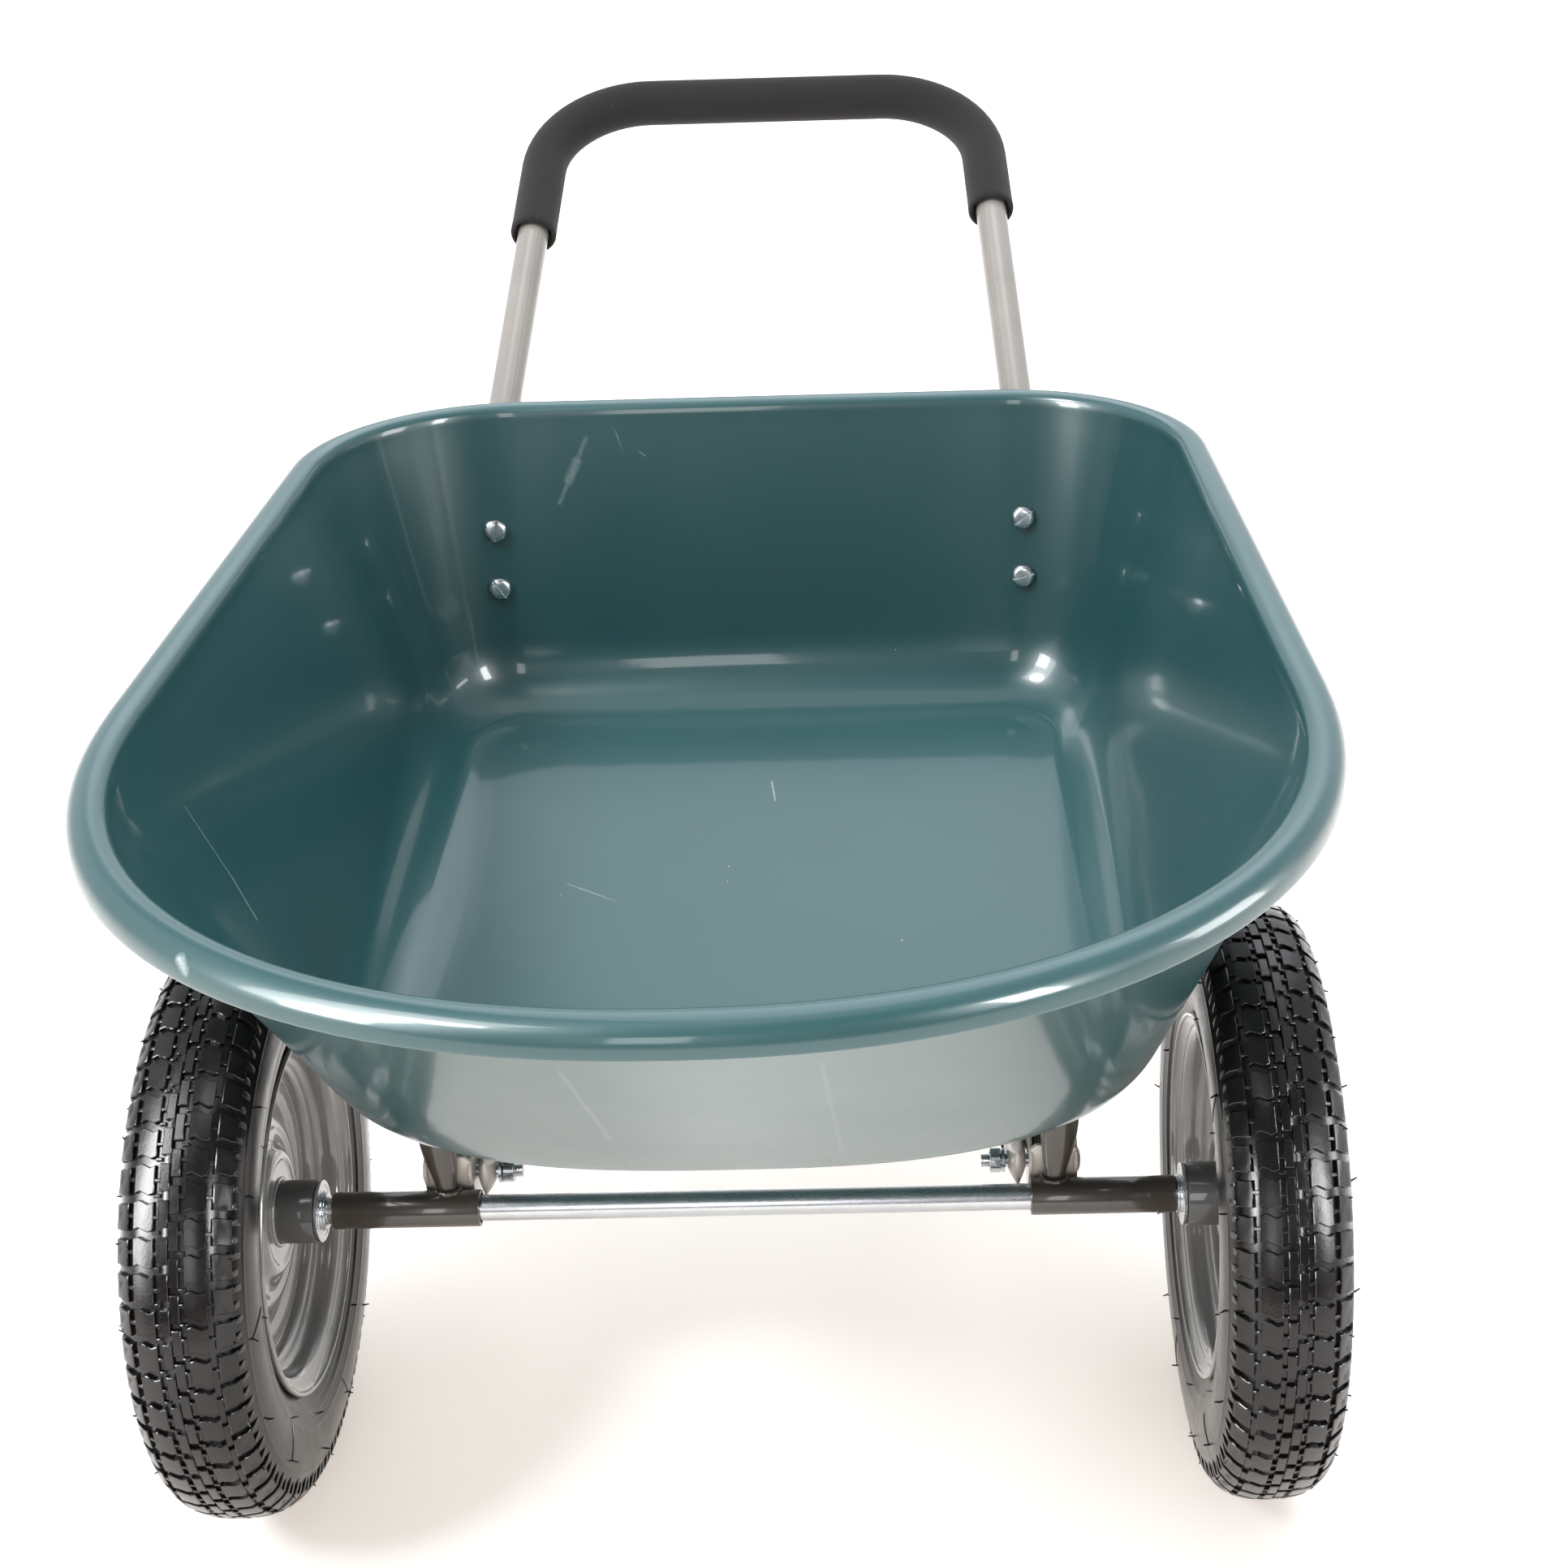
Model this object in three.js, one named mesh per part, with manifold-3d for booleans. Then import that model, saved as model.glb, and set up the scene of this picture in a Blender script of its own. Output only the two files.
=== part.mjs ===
// Two-wheel yard cart: a moulded tub on a tube frame, a push handle with one foam grip,
// a plain axle rod and two pneumatic wheels that spin on it.
// Millimetres, +Z up, +X to the right seen from the nose, nose towards -Y, handle towards +Y.
// Heights are from the ground; lengths are worked out from the axle, and the whole group is
// moved at the end so that the origin is below the middle of the cart's box.
import * as THREE from 'three';
import { mergeVertices } from 'three/addons/utils/BufferGeometryUtils.js';
import Module from 'manifold-3d';

const wasm = await Module();
wasm.setup();

// ---- driving dimensions ----
const GAP = 0.3;

const TYRE_RADIUS = 168;
const TYRE_HALF_WIDTH = 34;
const WHEEL_X = 283.7;
const RIM_RADIUS = 101.6;
const RIM_HALF_WIDTH = 26.8;
const RIM_SHEET = 2.4;
const HUB_RADIUS = 18;
const HUB_INNER_X = 248.6;
const HUB_OUTER_X = 313.4;
const AXLE_RADIUS = 7.5;
const AXLE_END_X = 327;
const AXLE_Z = TYRE_RADIUS;
const BORE_RADIUS = AXLE_RADIUS + 0.4;

const SLEEVE_RADIUS = 10.5;
const SLEEVE_BORE = 8.3;
const SLEEVE_X = [158.2, 243.2];

const TUB_WALL = 3.6;
const RIM_PLANE_Z = 510;
const RIM_FALL = -0.022;
const FLOOR_Z = 253.5;
const FLOOR_RISE = 0.0938;
const NOSE_Y = -342;
const TUB_RIM = { halfWidth: 302, tailHalf: 294, noseStart: -40, nose: NOSE_Y, power: 2.2, tail: 462, corner: 130 };
const TUB_FLOOR = { halfWidth: 224, tailHalf: 226, noseStart: 50, nose: -76, power: 2.8, tail: 414, corner: 55 };
const TUB_FILLET = 46;

const TUBE_RADIUS = 11.5;
const TUBE_BORE = 10;
const BEND_STEPS = 4;
const TUBE_SIDES = 10;
const DRILL_SIDES = 8;
const HANDLE_SLOPE = THREE.MathUtils.degToRad(27);
const HANDLE_CORNER = 80;
const GRIP_BAR = { y: 810, z: 626.8, x: 167.5 };
const GRIP_RADIUS = 17;
const GRIP_END_Y = 686;
const SOCKET_Z = 397;
const SPIGOT = 46;
const KNEE_Y = 158;
const HANDLE_BEND = 46;
const RAIL_BENDS = [60, 52];
const RAIL_END = 7;

const STRUT_X = 174;
const STRUT_RADIUS = 9;
const PLATE = 3;
const BRACKET_HALF = 14;
const BRACKET_SHEET = 2.2;
const BRACKET_FOOT = 156;
const BRACKET_TOP = 196;
const BRACE_HALF = 6;
const BRACE_REAR = { y: 376, z: 110 };
const STAND_X = 164.6;
const STAND_RADIUS = 11;
const STAND_BORE = 9.6;
const STAND_TOP = { y: 345, z: 270 };
const STAND_CORNER = 60;
const STAND_FOOT = { y: 395, z: STAND_RADIUS };
const TAB = { thick: 6, wide: 24, long: 40, below: 12 };

const BOLT_X = 182.5;
const BOLT_HOLE = 3.4;
const CROSS_HOLE = 4.4;
const WALL_BOLT_Z = [375, 416];
const FLOOR_BOLT = { x: 158, y: 10 };
const CROSS_BOLT = { y: 24, z: 176 };
const PIN_X = 321;

const TYRE_SEGMENTS = 32;
const WHEEL_SEGMENTS = 20;
const AIR_RING_RADIUS = 130;
const AIR_RADIUS = 26;
const VALVE_X = -9;
const SIDES = [-1, 1];

const BRACE_FRONT_X = STRUT_X - BRACKET_HALF - GAP - BRACE_HALF;
const BRACE_REAR_X = STAND_X - STAND_RADIUS - GAP - BRACE_HALF;

// The middle of the box along Y: halfway from the tub's nose to the back of the grip.
const ORIGIN_Y = (NOSE_Y + GRIP_BAR.y + GRIP_RADIUS) / 2;

const PAINT = { color: 0xa89f95, roughness: 0.38, metalness: 0.3 };
const DARK_PAINT = { color: 0x6e645b, roughness: 0.35, metalness: 0.3 };
const PLASTIC = { color: 0x3c6668, roughness: 0.3, metalness: 0 };
const FOAM = { color: 0x3a3533, roughness: 0.85, metalness: 0 };
const ZINC = { color: 0xb9bdbf, roughness: 0.28, metalness: 0.9 };
const RUBBER = { color: 0x221f1e, roughness: 0.5, metalness: 0 };
const RIM_PAINT = { color: 0x9b9b99, roughness: 0.35, metalness: 0.4 };

const cart = new THREE.Group();

// ---- helpers ----

// A geometry with positions only, shared vertices and faces that point outwards.
function closed(geometry) {
  const plain = geometry.clone();
  for (const name of Object.keys(plain.attributes)) {
    if (name !== 'position') plain.deleteAttribute(name);
  }
  const merged = mergeVertices(plain, 1e-3);
  const faces = [];
  let volume = 0;
  for (let i = 0; i < merged.index.count; i += 3) {
    const ids = [0, 1, 2].map((k) => merged.index.getX(i + k));
    if (new Set(ids).size < 3) continue;
    const [a, b, c] = ids.map((id) => new THREE.Vector3().fromBufferAttribute(merged.attributes.position, id));
    volume += a.dot(b.cross(c));
    faces.push(ids);
  }
  merged.setIndex(faces.flatMap(([a, b, c]) => (volume > 0 ? [a, b, c] : [a, c, b])));
  return merged;
}

function solid(geometry) {
  const mesh = closed(geometry);
  return new wasm.Manifold(new wasm.Mesh({
    numProp: 3,
    vertProperties: new Float32Array(mesh.attributes.position.array),
    triVerts: new Uint32Array(mesh.index.array),
  }));
}

function geometryOf(manifold) {
  const mesh = manifold.getMesh();
  const geometry = new THREE.BufferGeometry();
  geometry.setAttribute('position', new THREE.BufferAttribute(new Float32Array(mesh.vertProperties), 3));
  geometry.setIndex(Array.from(mesh.triVerts));
  return geometry;
}

function cut(geometry, ...tools) {
  return geometryOf(tools.reduce((body, tool) => body.subtract(solid(tool)), solid(geometry)));
}

function join(geometry, ...more) {
  return geometryOf(more.reduce((body, extra) => body.add(solid(extra)), solid(geometry)));
}

function add(name, geometry, finish) {
  const shape = closed(geometry);
  shape.computeVertexNormals();
  const mesh = new THREE.Mesh(shape, new THREE.MeshStandardMaterial(finish));
  mesh.name = name;
  cart.add(mesh);
  return mesh;
}

// A body turned about the X axis from points [x, radius], first and last on the axis or meeting.
function turned(points, segments) {
  const profile = points.map(([x, r]) => new THREE.Vector2(r, x));
  return new THREE.LatheGeometry(profile, segments).rotateZ(-Math.PI / 2);
}

// A ring about the X axis between two x values and two radii.
function ring(x0, x1, inner, outer, segments) {
  return turned([[x0, inner], [x0, outer], [x1, outer], [x1, inner], [x0, inner]], segments);
}

// Lays a shape that was drawn along X in another direction, with its x = 0 at a point.
function aim(geometry, point, direction) {
  const turn = new THREE.Quaternion().setFromUnitVectors(new THREE.Vector3(1, 0, 0), direction.clone().normalize());
  return geometry.applyQuaternion(turn).translate(point.x, point.y, point.z);
}

// A path of straight stretches: each extrusion step lands on one station.
class StationPath extends THREE.Curve {
  constructor(stations) {
    super();
    this.stations = stations;
  }
  getPointAt(u, target = new THREE.Vector3()) {
    const place = Math.min(u, 1) * (this.stations.length - 1);
    const from = Math.min(Math.floor(place + 1e-9), this.stations.length - 2);
    return target.lerpVectors(this.stations[from], this.stations[from + 1], place - from);
  }
  getTangentAt(u, target = new THREE.Vector3()) {
    const last = this.stations.length - 1;
    const here = Math.round(u * last);
    const back = this.stations[Math.max(here - 1, 0)];
    const ahead = this.stations[Math.min(here + 1, last)];
    return target.subVectors(ahead, back).normalize();
  }
}

// Stations of a route through corners, each rounded to its bend radius.
function route(corners, bends, steps) {
  const stations = [corners[0]];
  for (let i = 1; i < corners.length - 1; i += 1) {
    const into = new THREE.Vector3().subVectors(corners[i], corners[i - 1]).normalize();
    const out = new THREE.Vector3().subVectors(corners[i + 1], corners[i]).normalize();
    const turn = into.angleTo(out);
    const setback = bends[i - 1] * Math.tan(turn / 2);
    const side = out.clone().addScaledVector(into, -Math.cos(turn)).normalize();
    const start = corners[i].clone().addScaledVector(into, -setback);
    for (let k = 0; k <= steps; k += 1) {
      const angle = turn * k / steps;
      stations.push(start.clone()
        .addScaledVector(into, bends[i - 1] * Math.sin(angle))
        .addScaledVector(side, bends[i - 1] * (1 - Math.cos(angle))));
    }
  }
  stations.push(corners[corners.length - 1]);
  return stations;
}

function tube(stations, outer, inner, sides) {
  const section = new THREE.Shape().absarc(0, 0, outer, 0, 2 * Math.PI);
  if (inner) section.holes.push(new THREE.Path().absarc(0, 0, inner, 0, 2 * Math.PI, true));
  return new THREE.ExtrudeGeometry(section, {
    steps: stations.length - 1,
    curveSegments: sides / 2,
    bevelEnabled: false,
    extrudePath: new StationPath(stations),
  });
}

// ---- tub ----

function rimHeight(y) {
  return RIM_PLANE_Z + RIM_FALL * y;
}

function floorHeight(y) {
  return FLOOR_Z + FLOOR_RISE * y;
}

// One half of a tub outline seen from above, from the nose tip round to the middle of the tail.
function halfOutline(o) {
  const points = [];
  const noseSteps = 8;
  const sideSteps = 3;
  const cornerSteps = 5;
  const tailSteps = 2;
  for (let i = 0; i <= noseSteps; i += 1) {
    const angle = (i / noseSteps) * Math.PI / 2;
    const x = o.halfWidth * Math.sin(angle) ** (2 / o.power);
    points.push([x, o.noseStart - (o.noseStart - o.nose) * Math.cos(angle) ** (2 / o.power)]);
  }
  const cornerY = o.tail - o.corner;
  const cornerX = o.tailHalf - o.corner;
  for (let i = 1; i < sideSteps; i += 1) {
    const t = i / sideSteps;
    points.push([o.halfWidth + (o.tailHalf - o.halfWidth) * t, o.noseStart + (cornerY - o.noseStart) * t]);
  }
  for (let i = 0; i <= cornerSteps; i += 1) {
    const angle = (i / cornerSteps) * Math.PI / 2;
    points.push([cornerX + o.corner * Math.cos(angle), cornerY + o.corner * Math.sin(angle)]);
  }
  for (let i = 1; i <= tailSteps; i += 1) points.push([cornerX * (1 - i / tailSteps), o.tail]);
  return points;
}

function outline(o) {
  const half = halfOutline(o);
  const mirrored = half.slice(1, -1).reverse().map(([x, y]) => [-x, y]);
  return [...half, ...mirrored].map(([x, y]) => new THREE.Vector2(x, y));
}

// Outward level directions along a closed outline that runs anticlockwise from the nose.
function outwardDirections(points) {
  return points.map((_, i) => {
    const before = points[(i + points.length - 1) % points.length];
    const after = points[(i + 1) % points.length];
    return new THREE.Vector2(after.y - before.y, before.x - after.x).normalize();
  });
}

// The rolled rim's section: outward distance and height from the foot of the roll.
const ROLL_TOP = [[0, -12], [1.8, -4], [7, -0.2], [14, -0.6], [19.4, -5.5], [20.4, -13]];
const ROLL_UNDER = [[17.2, -13], [16.2, -7.5], [12, -4.1], [7.8, -4.2], [5, -7.5]];
const ROLL_WIDTH = 20.4;

function tubRows() {
  const edge = outline(TUB_RIM);
  const foot = outline(TUB_FLOOR);
  const out = outwardDirections(edge);
  const middle = new THREE.Vector3(0, 170, floorHeight(170));
  const rows = [];
  const wallTop = edge.map((p, i) => {
    const q = p.clone().addScaledVector(out[i], -ROLL_WIDTH);
    return new THREE.Vector3(q.x, q.y, rimHeight(p.y) + ROLL_TOP[0][1]);
  });
  const base = foot.map((p) => new THREE.Vector3(p.x, p.y, floorHeight(p.y)));
  const inward = base.map((p) => middle.clone().sub(p));
  rows.push(base.map((p, i) => p.clone().addScaledVector(inward[i], 0.55)));
  const filletSteps = 4;
  for (let k = 0; k <= filletSteps; k += 1) {
    const t = k / filletSteps;
    rows.push(base.map((p, i) => {
      const start = p.clone().addScaledVector(inward[i].clone().normalize(), TUB_FILLET);
      const end = p.clone().addScaledVector(wallTop[i].clone().sub(p).normalize(), TUB_FILLET);
      return new THREE.QuadraticBezierCurve3(start, p, end).getPoint(t);
    }));
  }
  rows.push(base.map((p, i) => p.clone().lerp(wallTop[i], 0.6)));
  rows.push(wallTop);
  const roll = (section) => section.map(([o, h]) => edge.map((p, i) => {
    const q = p.clone().addScaledVector(out[i], o - ROLL_WIDTH);
    return new THREE.Vector3(q.x, q.y, rimHeight(p.y) + h);
  }));
  return { middle, inside: rows, rollTop: roll(ROLL_TOP.slice(1)), rollUnder: roll(ROLL_UNDER) };
}

// Moves each row of a surface out along its normal by the wall's thickness.
function thickened(rows) {
  return rows.map((row, r) => row.map((p, i) => {
    const count = row.length;
    const along = row[(i + 1) % count].clone().sub(row[(i + count - 1) % count]);
    const up = rows[Math.min(r + 1, rows.length - 1)][i].clone().sub(rows[Math.max(r - 1, 0)][i]);
    return p.clone().addScaledVector(along.cross(up).normalize(), TUB_WALL);
  }));
}

function tubShell() {
  const { middle, inside, rollTop, rollUnder } = tubRows();
  const outside = thickened(inside);
  const below = middle.clone().add(new THREE.Vector3(0, 0, -TUB_WALL * Math.hypot(1, FLOOR_RISE)));
  const rings = [...inside, ...rollTop, ...rollUnder, ...outside.reverse()];
  const count = inside[0].length;
  const points = [middle, ...rings.flat(), below];
  const index = [];
  const at = (r, i) => 1 + r * count + (i % count);
  for (let i = 0; i < count; i += 1) {
    index.push(0, at(0, i), at(0, i + 1));
    for (let r = 0; r < rings.length - 1; r += 1) {
      index.push(at(r, i), at(r + 1, i), at(r + 1, i + 1), at(r, i), at(r + 1, i + 1), at(r, i + 1));
    }
    index.push(points.length - 1, at(rings.length - 1, i + 1), at(rings.length - 1, i));
  }
  const geometry = new THREE.BufferGeometry().setFromPoints(points);
  geometry.setIndex(index);
  return geometry;
}

// ---- where the tubes run ----

const TAIL_TURN = Math.PI / 20;
const INNER_CORNER = TUB_RIM.corner - ROLL_WIDTH;
const WALL_FOOT_Z = floorHeight(TUB_FLOOR.tail);
const WALL_TOP_Z = rimHeight(TUB_RIM.tail) + ROLL_TOP[0][1];
const WALL_LEAN = (TUB_RIM.tail - ROLL_WIDTH - TUB_FLOOR.tail) / (WALL_TOP_Z - WALL_FOOT_Z);
const TUBE_STAND_OFF = TUB_WALL + TUBE_RADIUS + 0.6;

// The rear wall's outward direction where the handle is bolted, just round the tail's corner.
function tailNormal(side) {
  return new THREE.Vector3(side * Math.sin(TAIL_TURN), Math.cos(TAIL_TURN), -WALL_LEAN).normalize();
}

// The point of the rear wall's inner face that lies on a bolt line at one height.
function wallSpot(side, z) {
  const t = (z - WALL_FOOT_Z) / (WALL_TOP_Z - WALL_FOOT_Z);
  const cornerX = THREE.MathUtils.lerp(TUB_FLOOR.tailHalf - TUB_FLOOR.corner, TUB_RIM.tailHalf - TUB_RIM.corner, t);
  const tailY = THREE.MathUtils.lerp(TUB_FLOOR.tail, TUB_RIM.tail - ROLL_WIDTH, t);
  return new THREE.Vector3(side * BOLT_X, tailY - (BOLT_X - cornerX) * Math.tan(TAIL_TURN), z);
}

// The tube's centre line behind the rear wall, and its centre line below the floor.
function behindWall(side, z) {
  return wallSpot(side, z).addScaledVector(tailNormal(side), TUBE_STAND_OFF).setZ(z);
}

function belowFloor(x, y) {
  return new THREE.Vector3(x, y, floorHeight(y) - TUBE_STAND_OFF);
}

// Direction of the handle's and rail's tube up the rear wall.
function upWall(side) {
  return behindWall(side, SOCKET_Z).sub(behindWall(side, SOCKET_Z - 50)).normalize();
}

// The push handle from its left foot round to its right foot.
function handleStations() {
  const foot = behindWall(-1, SOCKET_Z + 1);
  const grip = new THREE.Vector3(-GRIP_BAR.x, GRIP_BAR.y, GRIP_BAR.z);
  const up = upWall(-1);
  const rise = Math.tan(HANDLE_SLOPE);
  const climb = (grip.z - foot.z - (grip.y - foot.y) * rise) / (up.z - up.y * rise);
  const bend = foot.clone().addScaledVector(up, climb);
  const left = [foot, bend, grip];
  const right = left.map((p) => new THREE.Vector3(-p.x, p.y, p.z)).reverse();
  return route([...left, ...right], [HANDLE_BEND, HANDLE_CORNER, HANDLE_CORNER, HANDLE_BEND], BEND_STEPS);
}

// A side rail from the axle bracket, back under the floor and up behind the tail.
function railStations(side) {
  const knee = belowFloor(side * STRUT_X, KNEE_Y);
  const bolt = crossBoltPlace(side);
  const front = bolt.clone().addScaledVector(bolt.clone().sub(knee).normalize(), RAIL_END);
  const heel = behindWall(side, WALL_FOOT_Z - TUBE_STAND_OFF);
  return route([front, knee, heel, behindWall(side, SOCKET_Z)], RAIL_BENDS, BEND_STEPS);
}

function crossBoltPlace(side) {
  return new THREE.Vector3(side * STRUT_X, CROSS_BOLT.y, CROSS_BOLT.z);
}

function standBoltPlace(side) {
  return new THREE.Vector3(side * STAND_X, STAND_TOP.y, STAND_TOP.z);
}

function floorBoltPlace(side) {
  return new THREE.Vector3(side * FLOOR_BOLT.x, FLOOR_BOLT.y, floorHeight(FLOOR_BOLT.y));
}

// ---- fasteners ----

const ACROSS = new THREE.Vector3(1, 0, 0);
const FLOOR_DOWN = new THREE.Vector3(0, FLOOR_RISE, -1).normalize();

// Bolts lie along +X with the underside of the head at x = 0.
function hexBolt(radius, length, acrossFlats, headHeight) {
  const head = hexagon(acrossFlats, headHeight).translate(-headHeight, 0, 0);
  const shank = turned([[-1, 0], [-1, radius], [length - 1, radius], [length, radius - 1], [length, 0]], 8);
  return join(head, shank);
}

function roundBolt(radius, length, headRadius, headHeight) {
  return turned([[-headHeight, 0], [-headHeight, 0.4 * headRadius], [-0.6 * headHeight, 0.8 * headRadius],
    [0, headRadius], [0, radius], [length - 1, radius], [length, radius - 1], [length, 0]], 12);
}

function slottedBolt(radius, length, headRadius) {
  const head = turned([[-4, 0], [-4, headRadius - 2], [-2, headRadius], [0, headRadius], [0, 0]], 10);
  const shank = turned([[-1, 0], [-1, radius], [length - 1, radius], [length, radius - 1], [length, 0]], 8);
  return cut(join(head, shank), new THREE.BoxGeometry(3, 1.8, 3 * headRadius).translate(-4, 0, 0));
}

function hexagon(acrossFlats, height, hole = 0) {
  const outlineOfNut = new THREE.Shape();
  const reach = acrossFlats / Math.sqrt(3);
  for (let i = 0; i < 6; i += 1) {
    const angle = i * Math.PI / 3;
    outlineOfNut[i ? 'lineTo' : 'moveTo'](reach * Math.cos(angle), reach * Math.sin(angle));
  }
  outlineOfNut.closePath();
  if (hole) outlineOfNut.holes.push(new THREE.Path().absarc(0, 0, hole, 0, 2 * Math.PI, true));
  return new THREE.ExtrudeGeometry(outlineOfNut, { depth: height, bevelEnabled: false, curveSegments: 5 })
    .rotateY(Math.PI / 2);
}

// A round cutter along a direction through a point.
function drill(radius, point, direction, reach) {
  return aim(turned([[-reach, 0], [-reach, radius], [reach, radius], [reach, 0]], DRILL_SIDES), point, direction);
}

// ---- the frame ----

function buildTub() {
  const drills = [];
  for (const side of SIDES) {
    for (const z of WALL_BOLT_Z) drills.push(drill(BOLT_HOLE, wallSpot(side, z), tailNormal(side), 9));
    drills.push(drill(BOLT_HOLE, floorBoltPlace(side), FLOOR_DOWN, 9));
  }
  add('tub', cut(tubShell(), ...drills), PLASTIC);
}

// The handle's legs end in narrow spigots that push into the side rails.
function buildHandle() {
  const spigots = [];
  const drills = [];
  for (const side of SIDES) {
    const profile = [[-5, 7.8], [-5, 10.8], [0, 10.8], [0, 9.3], [SPIGOT, 9.3], [SPIGOT, 7.8], [-5, 7.8]];
    spigots.push(aim(turned(profile, TUBE_SIDES), behindWall(side, SOCKET_Z + 1), upWall(side).negate()));
    for (const z of WALL_BOLT_Z) drills.push(drill(BOLT_HOLE, wallSpot(side, z), tailNormal(side), 40));
  }
  const legs = tube(handleStations(), TUBE_RADIUS, TUBE_BORE, TUBE_SIDES);
  add('push_handle', cut(join(legs, ...spigots), ...drills), PAINT);
}

function buildGrip() {
  const all = handleStations();
  const first = 2 + BEND_STEPS;
  const last = first + 2 * BEND_STEPS + 1;
  const legEnd = (near, far) => near.clone().lerp(far, (near.y - GRIP_END_Y) / (near.y - far.y));
  const path = [legEnd(all[first], all[first - 1]), ...all.slice(first, last + 1), legEnd(all[last], all[last + 1])];
  add('foam_grip', tube(path, GRIP_RADIUS, TUBE_RADIUS + GAP, TUBE_SIDES), FOAM);
}

function sleeveCutter() {
  const reach = SLEEVE_RADIUS + GAP;
  return turned([[-300, 0], [-300, reach], [300, reach], [300, 0]], 16).translate(0, 0, AXLE_Z);
}

// Strut: a tube stood on the axle sleeve, with a bolting plate under the tub's floor.
function buildStrut(side) {
  const foot = new THREE.Vector3(side * STRUT_X, 0, AXLE_Z + SLEEVE_RADIUS - 3);
  const seat = floorHeight(FLOOR_BOLT.y) - TUB_WALL - PLATE - GAP;
  const top = new THREE.Vector3(side * STRUT_X, FLOOR_BOLT.y, seat + 1);
  const direction = top.clone().sub(foot);
  const post = aim(ring(0, direction.length(), 7.4, STRUT_RADIUS, TUBE_SIDES), foot, direction);
  const plate = new THREE.BoxGeometry(46, 30, PLATE)
    .rotateX(Math.atan(FLOOR_RISE))
    .translate(side * (STRUT_X - 9), FLOOR_BOLT.y, seat + PLATE / 2 - 0.4);
  const hole = drill(BOLT_HOLE, floorBoltPlace(side), FLOOR_DOWN, 20);
  return cut(join(post, plate), sleeveCutter(), hole);
}

// Bracket: a folded channel behind the sleeve whose two cheeks hold the rail's end.
function buildBracket(side) {
  const cheek = new THREE.Shape();
  const roundness = (BRACKET_TOP - BRACKET_FOOT) / 2;
  cheek.moveTo(3, 172);
  cheek.lineTo(3, 190);
  cheek.lineTo(24, BRACKET_TOP);
  cheek.absarc(27, BRACKET_FOOT + roundness, roundness, Math.PI / 2, -Math.PI / 2, true);
  cheek.lineTo(8, BRACKET_FOOT);
  cheek.closePath();
  const options = { depth: 2 * BRACKET_HALF, bevelEnabled: false, curveSegments: 5 };
  const upright = new THREE.Matrix4().set(0, 0, 1, 0, 1, 0, 0, 0, 0, 1, 0, 0, 0, 0, 0, 1);
  const block = new THREE.ExtrudeGeometry(cheek, options)
    .applyMatrix4(upright)
    .translate(side * STRUT_X - BRACKET_HALF, 0, 0);
  const hollow = new THREE.BoxGeometry(2 * (BRACKET_HALF - BRACKET_SHEET), 80, 60)
    .translate(side * STRUT_X, 30, BRACKET_FOOT + BRACKET_SHEET + 30);
  return cut(block, hollow, sleeveCutter(), drill(CROSS_HOLE, crossBoltPlace(side), ACROSS, 60));
}

// Brace: a light tube pressed oval, bolted between the axle bracket and the stand.
function buildBrace(side) {
  const from = crossBoltPlace(side).setX(side * BRACE_FRONT_X);
  const to = new THREE.Vector3(side * BRACE_REAR_X, BRACE_REAR.y, BRACE_REAR.z);
  const span = to.clone().sub(from);
  const middle = from.clone().add(to).multiplyScalar(0.5);
  const oval = (reach, half, length) => new THREE.CylinderGeometry(reach, reach, length, TUBE_SIDES)
    .scale(half / reach, 1, 1)
    .rotateX(Math.atan2(span.z, span.y))
    .rotateZ(-Math.atan2(span.x, span.y))
    .translate(middle.x, middle.y, middle.z);
  const bar = oval(9, BRACE_HALF, span.length() + 20);
  const hollow = oval(7.6, BRACE_HALF - 1.4, span.length() + 60);
  return cut(bar, hollow, drill(CROSS_HOLE, from, ACROSS, 30), drill(BOLT_HOLE, to, ACROSS, 30));
}

// Stand: one bent tube with a flat tab at each top end, resting on the ground at the back.
function buildStand() {
  const corner = (side) => new THREE.Vector3(side * STAND_X, STAND_FOOT.y, STAND_FOOT.z);
  const rise = (side) => standBoltPlace(side).sub(corner(side)).normalize();
  const top = (side) => standBoltPlace(side).addScaledVector(rise(side), -14);
  const stations = route([top(-1), corner(-1), corner(1), top(1)], [STAND_CORNER, STAND_CORNER], BEND_STEPS);
  const legs = tube(stations, STAND_RADIUS, STAND_BORE, TUBE_SIDES);
  const tabs = [];
  const drills = [];
  for (const side of SIDES) {
    const place = standBoltPlace(side).addScaledVector(rise(side), -TAB.below);
    tabs.push(new THREE.BoxGeometry(TAB.thick, TAB.wide, TAB.long)
      .rotateX(Math.atan2(STAND_FOOT.y - STAND_TOP.y, STAND_TOP.z - STAND_FOOT.z))
      .translate(place.x, place.y, place.z));
    drills.push(drill(BOLT_HOLE, standBoltPlace(side), ACROSS, 30));
    drills.push(drill(BOLT_HOLE, new THREE.Vector3(side * STAND_X, BRACE_REAR.y, BRACE_REAR.z), ACROSS, 30));
  }
  add('stand_leg', cut(join(legs, ...tabs), ...drills), PAINT);
}

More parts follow.
